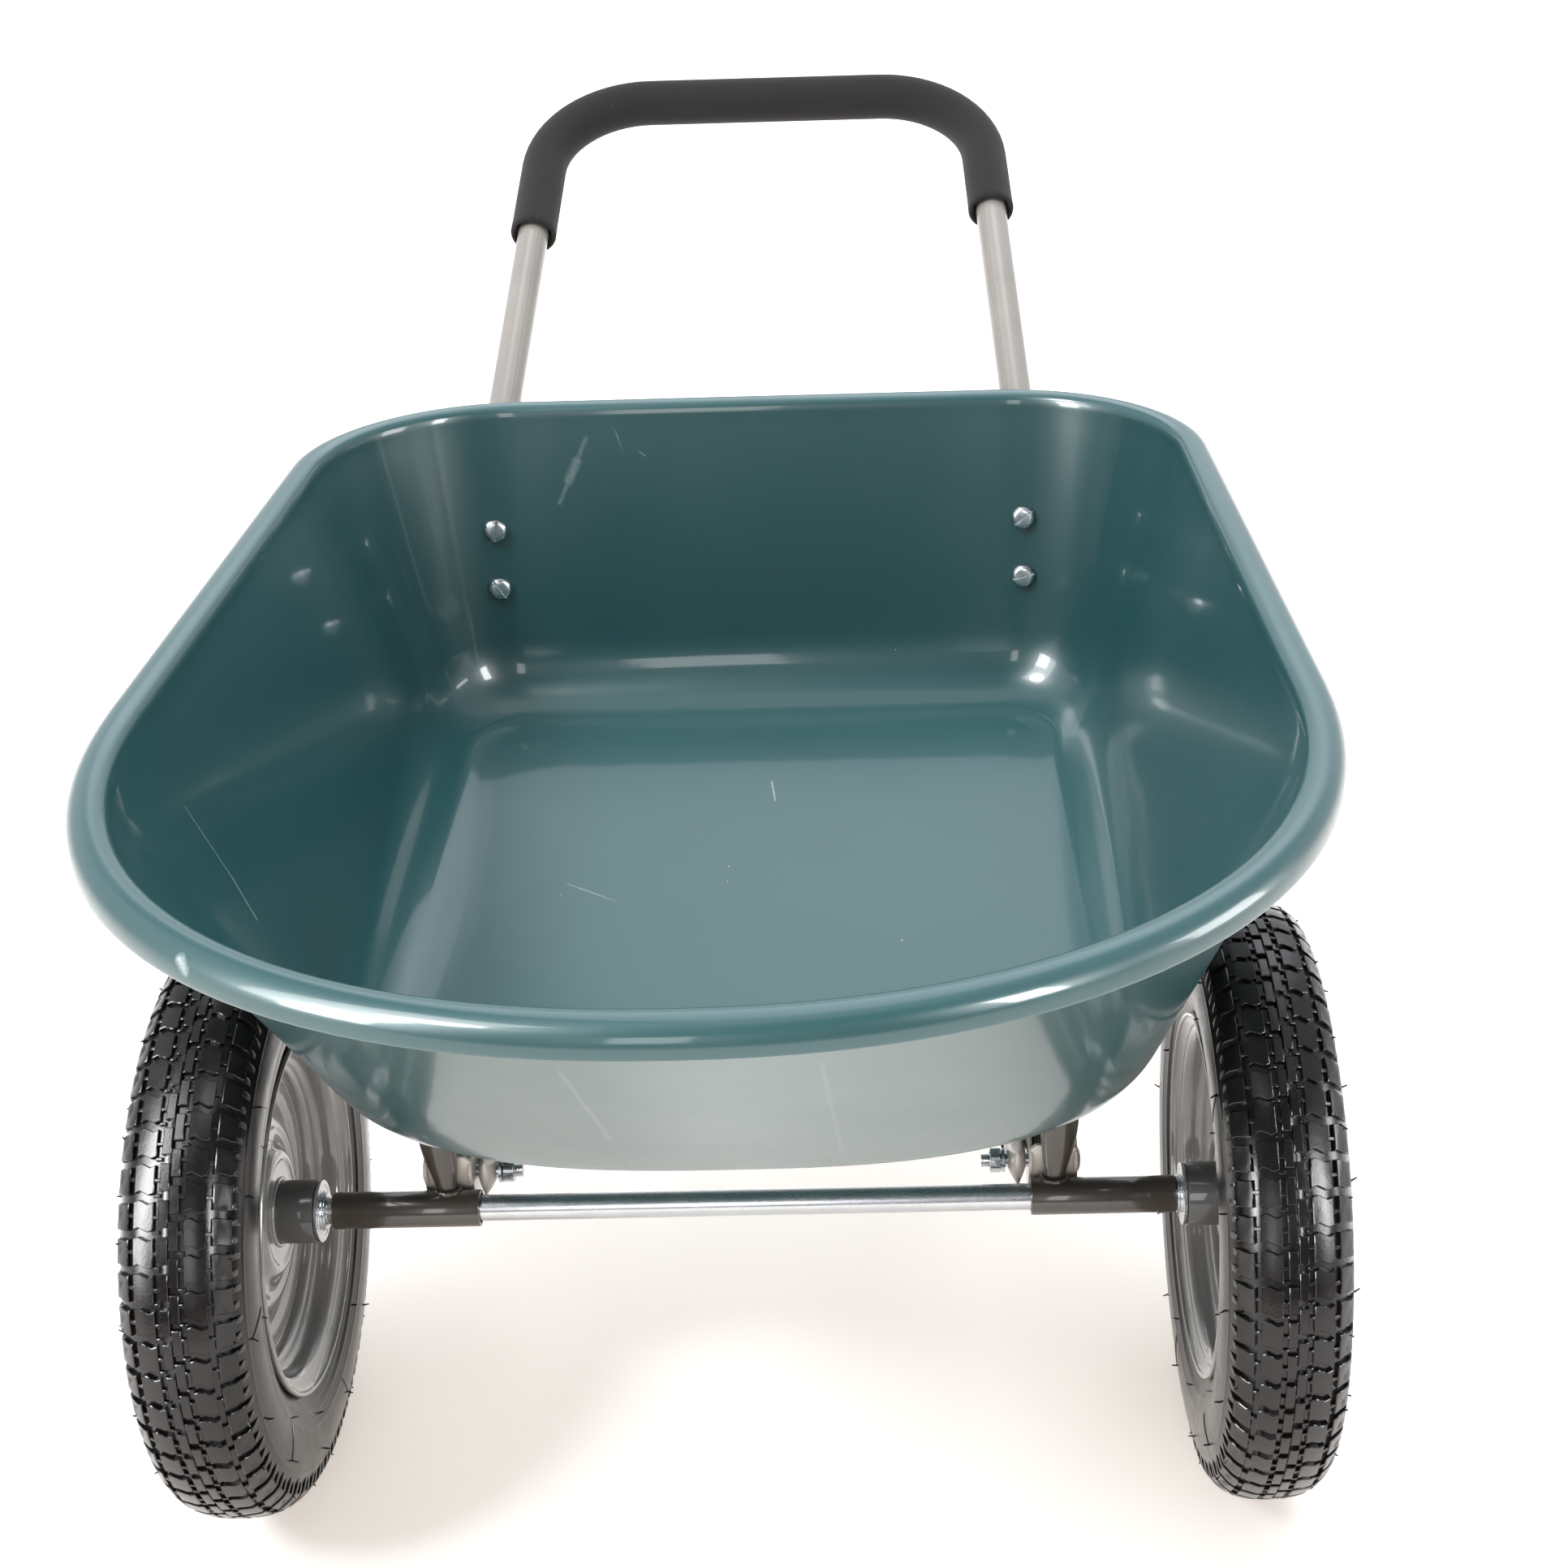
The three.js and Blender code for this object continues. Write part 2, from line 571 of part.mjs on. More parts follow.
function buildSide(side) {
  const name = side < 0 ? 'left' : 'right';
  const rail = cut(
    tube(railStations(side), TUBE_RADIUS, TUBE_BORE, TUBE_SIDES),
    drill(CROSS_HOLE, crossBoltPlace(side), ACROSS, 60),
    drill(BOLT_HOLE, wallSpot(side, WALL_BOLT_Z[0]), tailNormal(side), 40),
    drill(BOLT_HOLE, standBoltPlace(side), ACROSS, 40),
  );
  add(`side_rail_${name}`, rail, PAINT);
  const sleeve = ring(SLEEVE_X[0], SLEEVE_X[1], SLEEVE_BORE, SLEEVE_RADIUS, 16).translate(0, 0, AXLE_Z);
  add(`axle_sleeve_${name}`, sleeve.scale(side, 1, 1), DARK_PAINT);
  add(`axle_strut_${name}`, buildStrut(side), DARK_PAINT);
  add(`axle_bracket_${name}`, buildBracket(side), PAINT);
  add(`stand_brace_${name}`, buildBrace(side), PAINT);
}

// ---- the frame's fasteners ----

function fasten(name, shape, point, direction, offset) {
  const place = point.clone().addScaledVector(direction, offset);
  add(name, aim(shape, place, direction), ZINC);
}

function buildWallBolts(side, name) {
  WALL_BOLT_Z.forEach((z, i) => {
    const level = ['lower', 'upper'][i];
    const spot = wallSpot(side, z);
    const out = tailNormal(side);
    fasten(`wall_bolt_${level}_${name}`, slottedBolt(3, 42, 7.4), spot, out, -0.8);
    fasten(`wall_nut_${level}_${name}`, hexagon(10, 5, 3.3), spot, out, TUBE_STAND_OFF + TUBE_RADIUS + 1.4);
  });
}

function buildFloorBolt(side, name) {
  const under = TUB_WALL + PLATE + 1.5;
  fasten(`floor_bolt_${name}`, slottedBolt(3, 18, 7.4), floorBoltPlace(side), FLOOR_DOWN, -0.5);
  fasten(`floor_nut_${name}`, hexagon(10, 5, 3.3), floorBoltPlace(side), FLOOR_DOWN, under);
}

// The cross bolt's stack, from outside in: head, cheek, rail, cheek, brace, lock washer, nut.
function buildCrossBolt(side, name) {
  const inward = new THREE.Vector3(-side, 0, 0);
  const bolt = crossBoltPlace(side);
  const washerAt = BRACKET_HALF + 2 * GAP + 2 * BRACE_HALF + GAP;
  fasten(`cross_bolt_${name}`, roundBolt(4, 2 * BRACKET_HALF + 27, 7.6, 2.6), bolt, inward, -BRACKET_HALF - GAP);
  fasten(`lock_washer_${name}`, ring(0, 2.2, 4.4, 7, 12), bolt, inward, washerAt);
  fasten(`cross_nut_${name}`, hexagon(13, 6.5, 4.4), bolt, inward, washerAt + 2.2 + GAP);
}

function buildStandBolts(side, name) {
  const inward = new THREE.Vector3(-side, 0, 0);
  const reach = TAB.thick / 2 + 2 * TUBE_RADIUS + 3;
  fasten(`stand_bolt_${name}`, hexBolt(3, 40, 10, 4), standBoltPlace(side), inward, -reach);
  fasten(`stand_nut_${name}`, hexagon(10, 5, 3.3), standBoltPlace(side), inward, TAB.thick / 2 + GAP);
  const low = new THREE.Vector3(side * STAND_X, BRACE_REAR.y, BRACE_REAR.z);
  fasten(`brace_bolt_${name}`, hexBolt(3, 44, 10, 4), low, inward, -STAND_RADIUS - GAP);
  fasten(`brace_nut_${name}`, hexagon(10, 5, 3.3), low, inward, STAND_RADIUS + 2 * BRACE_HALF + 3 * GAP);
}

// ---- axle and wheels ----

function buildAxle() {
  const rod = turned([[-AXLE_END_X, 0], [-AXLE_END_X, 6.5], [1 - AXLE_END_X, AXLE_RADIUS],
    [AXLE_END_X - 1, AXLE_RADIUS], [AXLE_END_X, 6.5], [AXLE_END_X, 0]], 16).translate(0, 0, AXLE_Z);
  const pinHoles = SIDES.map((side) => {
    const place = new THREE.Vector3(side * PIN_X, 0, AXLE_Z);
    return drill(2.1, place, new THREE.Vector3(0, 0, 1), 20);
  });
  add('axle_rod', cut(rod, ...pinHoles), ZINC);
}

// Wheel pieces are drawn for a wheel whose centre plane is x = 0 and whose cart side is +X.
function tyreShape() {
  const half = [[17.5, 95.8], [22.4, 96.8], [26, 106], [TYRE_HALF_WIDTH, 128], [33, 147], [25, 161], [0, TYRE_RADIUS]];
  const cavity = [[0, 161.5], [16, 158.5], [28, 145], [28, 124], [18, 102]];
  const mirror = (points) => points.map(([x, r]) => [-x, r]).reverse();
  const outer = [...half, ...mirror(half.slice(0, -1))];
  const inner = [...mirror(cavity.slice(1)), ...cavity];
  return turned([...outer, ...inner, half[0]], TYRE_SEGMENTS);
}

// Inner tube with its valve stem, whose bore opens the air space.
function innerTubeShape() {
  const circle = (radius) => {
    const points = [];
    for (let i = 0; i <= 6; i += 1) {
      const angle = i * Math.PI / 3;
      points.push([radius * Math.cos(angle), AIR_RING_RADIUS + radius * Math.sin(angle)]);
    }
    return points;
  };
  const inward = new THREE.Vector3(0, 0, -1);
  const root = new THREE.Vector3(VALVE_X, 0, AIR_RING_RADIUS - AIR_RADIUS + 3);
  const stem = turned([[0, 1.2], [0, 3.8], [30, 3.6], [31, 2.6], [38, 2.6], [39, 3.6], [48, 3.6], [49, 2.6],
    [49, 1.2], [0, 1.2]], 8);
  const walls = cut(turned(circle(AIR_RADIUS), 16), turned(circle(AIR_RADIUS - 2), 16));
  return cut(join(walls, aim(stem, root, inward)), drill(1.2, root, inward, 6));
}

function rimShape() {
  const side = [[RIM_HALF_WIDTH, RIM_RADIUS], [23.6, 94.8], [14.5, 93.6], [9.5, 84]];
  const outer = [...side, ...side.map(([x, r]) => [-x, r]).reverse()];
  const inner = outer.map(([x, r]) => [x * 1.03, r - RIM_SHEET]).reverse();
  const barrel = turned([...outer, ...inner, outer[0]], WHEEL_SEGMENTS);
  const face = [[13.5, HUB_RADIUS + GAP], [13.5, 34], [6, 44], [1, 62], [1, 82.8]];
  const back = face.map(([x, r]) => [x - RIM_SHEET, r]).reverse();
  const disc = turned([...face, ...back, face[0]], WHEEL_SEGMENTS);
  const valveHole = drill(4.3, new THREE.Vector3(VALVE_X, 0, 84), new THREE.Vector3(0, 0, 1), 8);
  return cut(join(barrel, disc), valveHole);
}

function bearingShape() {
  const profile = [[0, BORE_RADIUS], [0, 16.8], [-2.2, 16.8], [-2.2, 15.2], [-14, 15.2], [-14, BORE_RADIUS],
    [0, BORE_RADIUS]];
  return turned(profile, 14);
}

function buildWheel(side) {
  const name = side < 0 ? 'left' : 'right';
  // Turns a piece drawn with the cart side at +X, and sets its x = 0 at one distance from the middle.
  const place = (label, shape, distance, finish) => {
    shape.rotateZ(side < 0 ? 0 : Math.PI).translate(side * distance, 0, AXLE_Z);
    add(`${label}_${name}`, shape, finish);
  };
  const hubLength = HUB_OUTER_X - HUB_INNER_X;
  place('tyre', tyreShape(), WHEEL_X, RUBBER);
  place('inner_tube', innerTubeShape(), WHEEL_X, RUBBER);
  place('wheel_rim', rimShape(), WHEEL_X, RIM_PAINT);
  place('wheel_hub', ring(-hubLength, 0, 15.7, HUB_RADIUS, 16), HUB_INNER_X, RIM_PAINT);
  place('bearing_inner', bearingShape(), HUB_INNER_X - 2.2 - GAP, ZINC);
  place('bearing_outer', bearingShape().rotateZ(Math.PI), HUB_OUTER_X + 2.2 + GAP, ZINC);
  place('axle_washer_inner', ring(-1.9, 0, BORE_RADIUS, 14, 12), SLEEVE_X[1] + GAP, ZINC);
  place('axle_washer_outer', ring(0, 2, BORE_RADIUS, 14, 12), PIN_X - 2.6, ZINC);
  add(`cotter_pin_${name}`, cotterPin().translate(side * PIN_X, 0, AXLE_Z), ZINC);
}

// A split pin: a round stem across the rod with an eye on top.
function cotterPin() {
  const stem = new THREE.CylinderGeometry(1.8, 1.8, 30, 8).rotateX(Math.PI / 2).translate(0, 0, -1);
  const eye = new THREE.TorusGeometry(3.4, 1.5, 5, 8)
    .rotateX(Math.PI / 2)
    .rotateZ(Math.PI / 2)
    .translate(0, 0, 16);
  return join(stem, eye);
}

// ---- assembly ----

buildTub();
buildHandle();
buildGrip();
buildStand();
for (const side of SIDES) {
  const name = side < 0 ? 'left' : 'right';
  buildSide(side);
  buildWallBolts(side, name);
  buildFloorBolt(side, name);
  buildCrossBolt(side, name);
  buildStandBolts(side, name);
}
buildAxle();
for (const side of SIDES) buildWheel(side);

cart.position.y = -ORIGIN_Y;

export default cart;
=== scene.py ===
import math
import random

import bmesh
import bpy
from mathutils import Matrix, Vector


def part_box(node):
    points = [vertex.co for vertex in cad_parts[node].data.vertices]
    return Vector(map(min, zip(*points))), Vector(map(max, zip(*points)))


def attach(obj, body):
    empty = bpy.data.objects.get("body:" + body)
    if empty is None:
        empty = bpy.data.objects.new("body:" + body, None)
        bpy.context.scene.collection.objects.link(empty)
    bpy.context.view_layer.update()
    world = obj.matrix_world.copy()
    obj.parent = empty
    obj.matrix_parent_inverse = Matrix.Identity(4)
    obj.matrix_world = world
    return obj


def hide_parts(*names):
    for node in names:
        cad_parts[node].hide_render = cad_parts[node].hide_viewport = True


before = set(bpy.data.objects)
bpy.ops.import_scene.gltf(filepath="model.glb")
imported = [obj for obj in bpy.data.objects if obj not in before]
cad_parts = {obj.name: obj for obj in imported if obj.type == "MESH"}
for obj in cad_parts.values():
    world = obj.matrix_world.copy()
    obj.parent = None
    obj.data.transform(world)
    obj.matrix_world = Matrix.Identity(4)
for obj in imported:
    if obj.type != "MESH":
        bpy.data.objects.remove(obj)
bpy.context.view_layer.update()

# ---- dimensions that the CAD model has too ----
MM = 0.001
AXLE_LOW, AXLE_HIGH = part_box("axle_rod")
AXLE_Y = (AXLE_LOW.y + AXLE_HIGH.y) / 2 / MM
AXLE_Z = (AXLE_LOW.z + AXLE_HIGH.z) / 2 / MM
WHEEL_X = 283.7
HUB_RADIUS = 18
HUB_INNER_X = 248.6
HUB_OUTER_X = 313.4
AXLE_RADIUS = 7.5
AXLE_END_X = 327
BORE_RADIUS = AXLE_RADIUS + 0.4
SLEEVE_RADIUS = 10.5
SLEEVE_X = {-1: (155, 239.8), 1: (160.4, 243.2)}
SLEEVE_END = 243.2
TUB_WALL = 3.6
RIM_PLANE_Z = 510
RIM_FALL = -0.022
FLOOR_Z = 253.5
FLOOR_RISE = 0.0938
TUB_RIM = dict(half_width=302, tail_half=294, nose_start=-40, nose=-342, power=2.2, tail=462, corner=130)
TUB_FLOOR = dict(half_width=224, tail_half=226, nose_start=50, nose=-76, power=2.8, tail=414, corner=55)
TUB_FILLET = 46
ROLL_WIDTH = 20.4
ROLL_FOOT = -12
TUBE_RADIUS = 11.5
TUBE_BORE = 10
HANDLE_SLOPE = math.radians(27)
HANDLE_CORNER = 80
HANDLE_BEND = 46
GRIP_BAR = Vector((167.5, 810, 626.8))
GRIP_RADIUS = 17
GRIP_END_Y = {-1: 674, 1: 686}
SOCKET_Z = 397
SPIGOT = 46
KNEE_Y = 158
RAIL_BENDS = (60, 52)
RAIL_END = 7
STRUT_X = 174
STRUT_LEAN = 3
STRUT_FOOT_Y = 4
PLATE = 3
BRACKET_HALF = 14
BRACKET_SHEET = 2.2
BRACKET_FOOT = 156
BRACKET_TOP = 196
BRACKET_WEB_Y = 10.4
BRACE_HALF = 6
BRACE_REAR = (376, 110)
STAND_X = 164.6
STAND_RADIUS = 11
STAND_BORE = 9.6
STAND_TOP = (345, 270)
STAND_FOOT_Y = 395
STAND_CORNER = 60
TAB_THICK = 6
BOLT_X = 182.5
WALL_BOLT_Z = (375, 416)
FLOOR_BOLT = (158, 10)
CROSS_BOLT = (24, 176)
PIN_X = 321
GAP = 0.3
TAIL_TURN = math.pi / 20
TUBE_STAND_OFF = TUB_WALL + TUBE_RADIUS + 0.6

SIDES = ((-1, "left"), (1, "right"))
X_AXIS, Y_AXIS, Z_AXIS = Vector((1, 0, 0)), Vector((0, 1, 0)), Vector((0, 0, 1))
THREAD_LENGTH = 14


# ---- curves and skins ----
def between(a, b, share):
    return a + (b - a) * share


def smooth(points, steps):
    """Points of a Catmull-Rom curve through the given points, steps to a stretch."""
    ends = [2 * points[0] - points[1], *points, 2 * points[-1] - points[-2]]
    made = []
    for a, b, c, d in zip(ends, ends[1:], ends[2:], ends[3:]):
        for k in range(steps):
            t = k / steps
            made.append(0.5 * (2 * b + (c - a) * t + (2 * a - 5 * b + 4 * c - d) * t * t
                               + (3 * b - a - 3 * c + d) * t ** 3))
    return [*made, points[-1]]


def smooth_profile(points, steps):
    return [(p.x, p.y) for p in smooth([Vector(p) for p in points], steps)]


def softened(rows):
    """Rows of points with smooth curves between them."""
    return list(zip(*[smooth(line, 3) for line in zip(*rows)]))


def angles(count):
    return [2 * math.pi * k / count for k in range(count)]


def oval(centre, across, up, wide, deep, sides=32):
    """Points round an ellipse, wide along one direction and deep along the other."""
    return [centre + across * (wide * math.cos(a)) + up * (deep * math.sin(a)) for a in angles(sides)]


def spun(x, radius, angle):
    """A point turned about the X axis, from the top towards +Y."""
    return Vector((x, radius * math.sin(angle), radius * math.cos(angle)))


def round_row(x, radius, count):
    """Points of a circle about the X axis, starting towards +Y."""
    return oval(X_AXIS * x, Y_AXIS, Z_AXIS, radius, radius, count)


def rounded(corners, bends, steps):
    """Points of a path through corners, each rounded to its bend radius."""
    path = [corners[0]]
    for before, corner, after, bend in zip(corners, corners[1:], corners[2:], bends):
        into = (corner - before).normalized()
        out = (after - corner).normalized()
        turn = into.angle(out)
        side = (out - into * math.cos(turn)).normalized()
        start = corner - into * (bend * math.tan(turn / 2))
        for k in range(steps + 1):
            angle = turn * k / steps
            path.append(start + into * (bend * math.sin(angle)) + side * (bend * (1 - math.cos(angle))))
    return [*path, corners[-1]]


def skin(rows, around=True, wrap=False, caps=False):
    """A shape from rows of points. around joins each row's ends, wrap the last row to the first."""
    count = len(rows[0])
    faces = []
    for r in range(len(rows) if wrap else len(rows) - 1):
        a, b = r * count, (r + 1) % len(rows) * count
        for i in range(count if around else count - 1):
            j = (i + 1) % count
            faces.append((a + i, a + j, b + j, b + i))
    if caps:
        faces.append(tuple(range(count)))
        faces.append(tuple((len(rows) - 1) * count + i for i in reversed(range(count))))
    return [Vector(p) for row in rows for p in row], faces


def merged(*shapes):
    points, faces = [], []
    for more_points, more_faces in shapes:
        faces += [tuple(i + len(points) for i in face) for face in more_faces]
        points += more_points
    return points, faces


def moved(shape, matrix):
    return [matrix @ p for p in shape[0]], shape[1]


def shifted(shape, x=0, y=0, z=0):
    return moved(shape, Matrix.Translation((x, y, z)))


def turned(profile, segments, closed=True):
    """A body turned about the X axis from points (x, radius)."""
    return skin([[spun(x, r, a) for x, r in profile] for a in angles(segments)], around=closed, wrap=True)


def bar(profile, segments):
    """A turned body that is closed on the axis at both ends."""
    return turned([(profile[0][0], 0.01), *profile, (profile[-1][0], 0.01)], segments, closed=False)


def ring(x0, x1, inner, outer, segments=48, edge=0.4):
    """A ring about the X axis with softened outer edges."""
    lip = edge if x1 > x0 else -edge
    end = ((0, inner), (0, outer - edge), (lip * 0.3, outer - edge * 0.3), (lip, outer))
    return turned([*[(x0 + d, r) for d, r in end], *[(x1 - d, r) for d, r in reversed(end)]], segments)


def frames(path):
    """Each point of a path with two directions across it, which turn as little as they can."""
    found = []
    normal = None
    for i, point in enumerate(path):
        tangent = (path[min(i + 1, len(path) - 1)] - path[max(i - 1, 0)]).normalized()
        if normal is None:
            spare = X_AXIS if abs(tangent.x) < 0.9 else Z_AXIS
            normal = tangent.cross(spare).normalized()
        normal = (normal - tangent * normal.dot(tangent)).normalized()
        found.append((point, normal, tangent.cross(normal)))
    return found


# A tube's weld line across its section: angle from the middle, and how far the skin stands out.
SEAM = ((-0.05, 0.1), (-0.02, -0.35), (0.02, -0.35), (0.05, 0.1))


def sweep_rows(path, radius, sides, seam=None, taper=0.0):
    """Rings of a round section along a path. seam is the angle of a weld line, taper what the end loses."""
    spots = [(a, 0) for a in angles(sides)]
    if seam is not None:
        spots += [(seam + offset, lift) for offset, lift in SEAM]
    rows = []
    for i, (point, u, v) in enumerate(frames(path)):
        scale = 1 - taper * i / (len(path) - 1)
        row = [point + (u * math.cos(a) + v * math.sin(a)) * ((radius + lift) * scale) for a, lift in spots]
        if seam is not None:
            row.sort(key=lambda p: math.atan2((p - point).dot(v), (p - point).dot(u)))
        rows.append(row)
    return rows


def rope(path, radius, sides):
    """A solid round section along a path."""
    return skin(sweep_rows(path, radius, sides), caps=True)


def tube(path, outer, inner, sides=32, seam=None):
    """A hollow tube along a path."""
    bore_rows = sweep_rows(path, inner, sides, seam)
    return skin([*sweep_rows(path, outer, sides, seam), *reversed(bore_rows)], wrap=True)


def aimed(shape, point, direction, spin=0):
    """Lays a shape that is drawn along X along another direction, turned about it by spin."""
    turn = X_AXIS.rotation_difference(direction.normalized()).to_matrix().to_4x4()
    return moved(shape, Matrix.Translation(point) @ turn @ Matrix.Rotation(spin, 4, "X"))


def hexagon(across, x0, x1):
    """Rows of a hexagonal prism along X whose corners are chamfered at both ends."""
    rows = []
    for x, cut in ((x0, 0.96), (x0 + 0.45, 1.1), (x1 - 0.45, 1.1), (x1, 0.96)):
        row = []
        for a in angles(48):
            flat = across / math.sqrt(3) * math.cos(math.pi / 6) / math.cos(a % (math.pi / 3) - math.pi / 6)
            r = min(flat, across / 2 * cut)
            row.append(Vector((x, r * math.cos(a), r * math.sin(a))))
        rows.append(row)
    return rows


def thread(x0, x1, radius):
    """A threaded shank along X with a real helix of 1 mm pitch."""
    rows = []
    steps = max(2, int((x1 - x0) * 4))
    sides = 20
    for i in range(steps + 1):
        row = []
        for k, a in enumerate(angles(sides)):
            groove = abs(2 * ((i / 4 + k / sides) % 1) - 1)
            r = radius - 0.45 * groove * (0.4 if i == steps else 1)
            row.append(Vector((between(x0, x1, i / steps), r * math.cos(a), r * math.sin(a))))
        rows.append(row)
    return skin(rows, caps=True)


# ---- finishes ----
class Graph:
    """A node tree, with shorthands for the nodes it is made of."""

    def __init__(self, tree):
        self.tree = tree

    def feed(self, socket, value):
        if isinstance(value, bpy.types.NodeSocket):
            self.tree.links.new(value, socket)
        else:
            socket.default_value = (*value, 1) if socket.type == "RGBA" else value

    def node(self, kind, inputs=None, **settings):
        """A new node with its settings, and its inputs fed by name or number."""
        made = self.tree.nodes.new("ShaderNode" + kind)
        for key, value in settings.items():
            setattr(made, key, value)
        for key, value in (inputs or {}).items():
            if value is not None:
                self.feed(made.inputs[key], value)
        return made

    def math(self, operation, a, b=0.0, clamp=False):
        return self.node("Math", {0: a, 1: b}, operation=operation, use_clamp=clamp).outputs[0]

    def scaled(self, value, times, plus=0.0):
        return self.math("ADD", self.math("MULTIPLY", value, times), plus)

    def vector(self, operation, a, b=(0, 0, 0), scale=1.0, output=0):
        return self.node("VectorMath", {0: a, 1: b, 3: scale}, operation=operation).outputs[output]

    def parts(self, vector):
        return self.node("SeparateXYZ", {0: vector}).outputs

    def mix(self, share, a, b):
        return self.node("Mix", {"Factor": share, "A": a, "B": b}, data_type="RGBA").outputs["Result"]

    def span(self, value, low, high):
        """The share of the way that a value has gone from low to high."""
        return self.node("MapRange", {"Value": value, "From Min": low, "From Max": high}).outputs["Result"]

    def ramp(self, value, *stops):
        """Maps a value through (place, level) stops, where a level may be a colour."""
        made = self.node("ValToRGB", {"Fac": value})
        elements = made.color_ramp.elements
        while len(elements) < len(stops):
            elements.new(0.5)
        for element, (place, level) in zip(elements, stops):
            element.position = place
            element.color = (*level, 1) if isinstance(level, tuple) else (level, level, level, 1)
        return made.outputs["Color"]


class Finish(Graph):
    """A procedural material in the piece's own millimetres, and the name of its slot."""

    def __init__(self, name, slot, **sockets):
        self.slot = slot
        self.material = bpy.data.materials.new(name)
        self.material.use_nodes = True
        super().__init__(self.material.node_tree)
        self.set(**sockets)
        self.place = self.vector("SCALE", self.node("TexCoord").outputs["Object"], scale=1 / MM)

    def set(self, **sockets):
        for key, value in sockets.items():
            self.feed(self.tree.nodes["Principled BSDF"].inputs[key.replace("_", " ")], value)

    def noise(self, size, detail=4.0, roughness=0.55, stretch=(1, 1, 1), distortion=0.0):
        """Noise whose lumps are about size millimetres across."""
        place = self.vector("MULTIPLY", self.place, stretch)
        return self.node("TexNoise", {"Vector": place, "Scale": 1 / size, "Detail": detail,
                                      "Roughness": roughness, "Distortion": distortion}).outputs["Fac"]

    def specks(self, size, reach):
        """Small dots on a grid of cells of a size, each as wide as reach of the cell."""
        cells = self.node("TexVoronoi", {"Vector": self.place, "Scale": 1 / size})
        return self.ramp(cells.outputs["Distance"], (0, 1), (reach, 0))

    def bump(self, height, depth, strength=1.0, below=None):
        """depth is how many millimetres a height of 1 stands up, and below the normal that it stands on."""
        return self.node("Bump", {"Height": height, "Distance": depth * MM, "Strength": strength,
                                  "Normal": below}).outputs["Normal"]

    def dish(self, height, lean):
        """The surface's normal, leaning a little where it faces up and lies below a height."""
        normal = self.node("NewGeometry").outputs["Normal"]
        level = self.math("MULTIPLY", self.math("SUBTRACT", self.parts(normal)["Z"], 0.94), 22, True)
        floor = self.math("MULTIPLY", level, self.math("LESS_THAN", self.parts(self.place)["Z"], height))
        return self.vector("NORMALIZE", self.vector("ADD", normal, self.vector("SCALE", lean, scale=floor)))

    def scratch(self, start, end, width, strength):
        """A soft straight mark between two points."""
        along = Vector(end) - Vector(start)
        offset = self.vector("SUBTRACT", self.place, start)
        reach = self.vector("DOT_PRODUCT", offset, along, output=1)
        nearest = self.vector("SCALE", along, scale=self.math("DIVIDE", reach, along.length_squared, True))
        gap = self.vector("LENGTH", self.vector("SUBTRACT", offset, nearest), output=1)
        return self.ramp(self.math("DIVIDE", gap, width), (0.25, strength), (1, 0))


def colour(red, green, blue):
    """A screen colour from 0 to 255 as linear light."""
    levels = (c / 255 for c in (red, green, blue))
    return tuple(c / 12.92 if c < 0.04 else ((c + 0.055) / 1.055) ** 2.4 for c in levels)


def own(point):
    """A point of the cart's drawing in the frame's millimetres, where materials are drawn."""
    return (point[0], point[1] + AXLE_Y, point[2])


# Marks on the tub, old scratches and one small whitish patch on the rim's left front: from, to, width in
# millimetres, strength.
MARKS = (
    ((-116, 441, 477), (-125, 438, 458), 2.4, 0.22), ((-123, 438, 462), (-130, 436, 448), 4.2, 0.3),
    ((-129, 436, 450), (-137, 434, 433), 2.2, 0.2), ((-106, 444, 496), (-95, 441, 480), 0.8, 0.45),
    ((-95, 441, 480), (-90, 439, 463), 0.9, 0.6), ((-84, 440, 470), (-76, 438, 464), 0.7, 0.35),
    ((-270, -36, 453), (-258, -20, 402), 0.9, 0.4), ((-258, -20, 402), (-251, -14, 373), 1.2, 0.5),
    ((-54, -274, 452), (-52, -165, 336), 1.8, 0.13), ((54, -276, 456), (57, -130, 301), 1.8, 0.1),
    ((7, 302, 282), (10, 279, 280), 0.9, 0.5), ((-118, 190, 271), (-85, 170, 270), 0.8, 0.3),
    # The first mark on this line, short and wide on the rim's left front, paints a small whitish patch.
    ((-197, -279, 509), (-200, -276, 512), 3.4, 0.8), ((120, -180, 380), (160, -120, 400), 1.0, 0.3))


# How a slightly dished floor leans its gloss towards the nose, and the height that ends at.
DISH, DISH_TOP = (0, -0.21, 0), 305


def plastic_finish():
    """Glossy moulded plastic: a soft sheen under a thin clear skin, with old marks and fine hairs."""
    made = Finish("tub_plastic", "tub_plastic", IOR=1.5, Coat_Weight=0.55, Coat_Roughness=0.07)
    tone = made.mix(made.noise(160, 3), colour(31, 71, 74), colour(35, 80, 83))
    hairs = made.noise(5, 8, 0.75, stretch=(0.12, 2.4, 1.6), distortion=1.5)
    wear = made.ramp(hairs, (0.68, 0), (0.74, 0.10))
    broken = made.ramp(made.noise(2.5, 4, 0.8), (0.3, 0.25), (0.6, 1))
    for start, end, width, strength in MARKS:
        line = made.math("MULTIPLY", made.scratch(own(start), own(end), width, strength), broken)
        wear = made.math("MAXIMUM", wear, line)
    worn = made.mix(wear, tone, colour(190, 205, 205))
    dished = made.dish(DISH_TOP, DISH)
    grain = made.bump(made.noise(1.3, 2), 0.012, 0.4, dished)
    made.set(Base_Color=made.mix(made.specks(34, 0.018), worn, colour(215, 220, 220)),
             Roughness=made.scaled(made.noise(90, 5, 0.6), 0.12, 0.27),
             Normal=made.bump(made.noise(75, 2), 0.6, 0.25, grain),
             Coat_Normal=made.bump(made.noise(48, 3), 0.22, 0.5, dished))
    return made


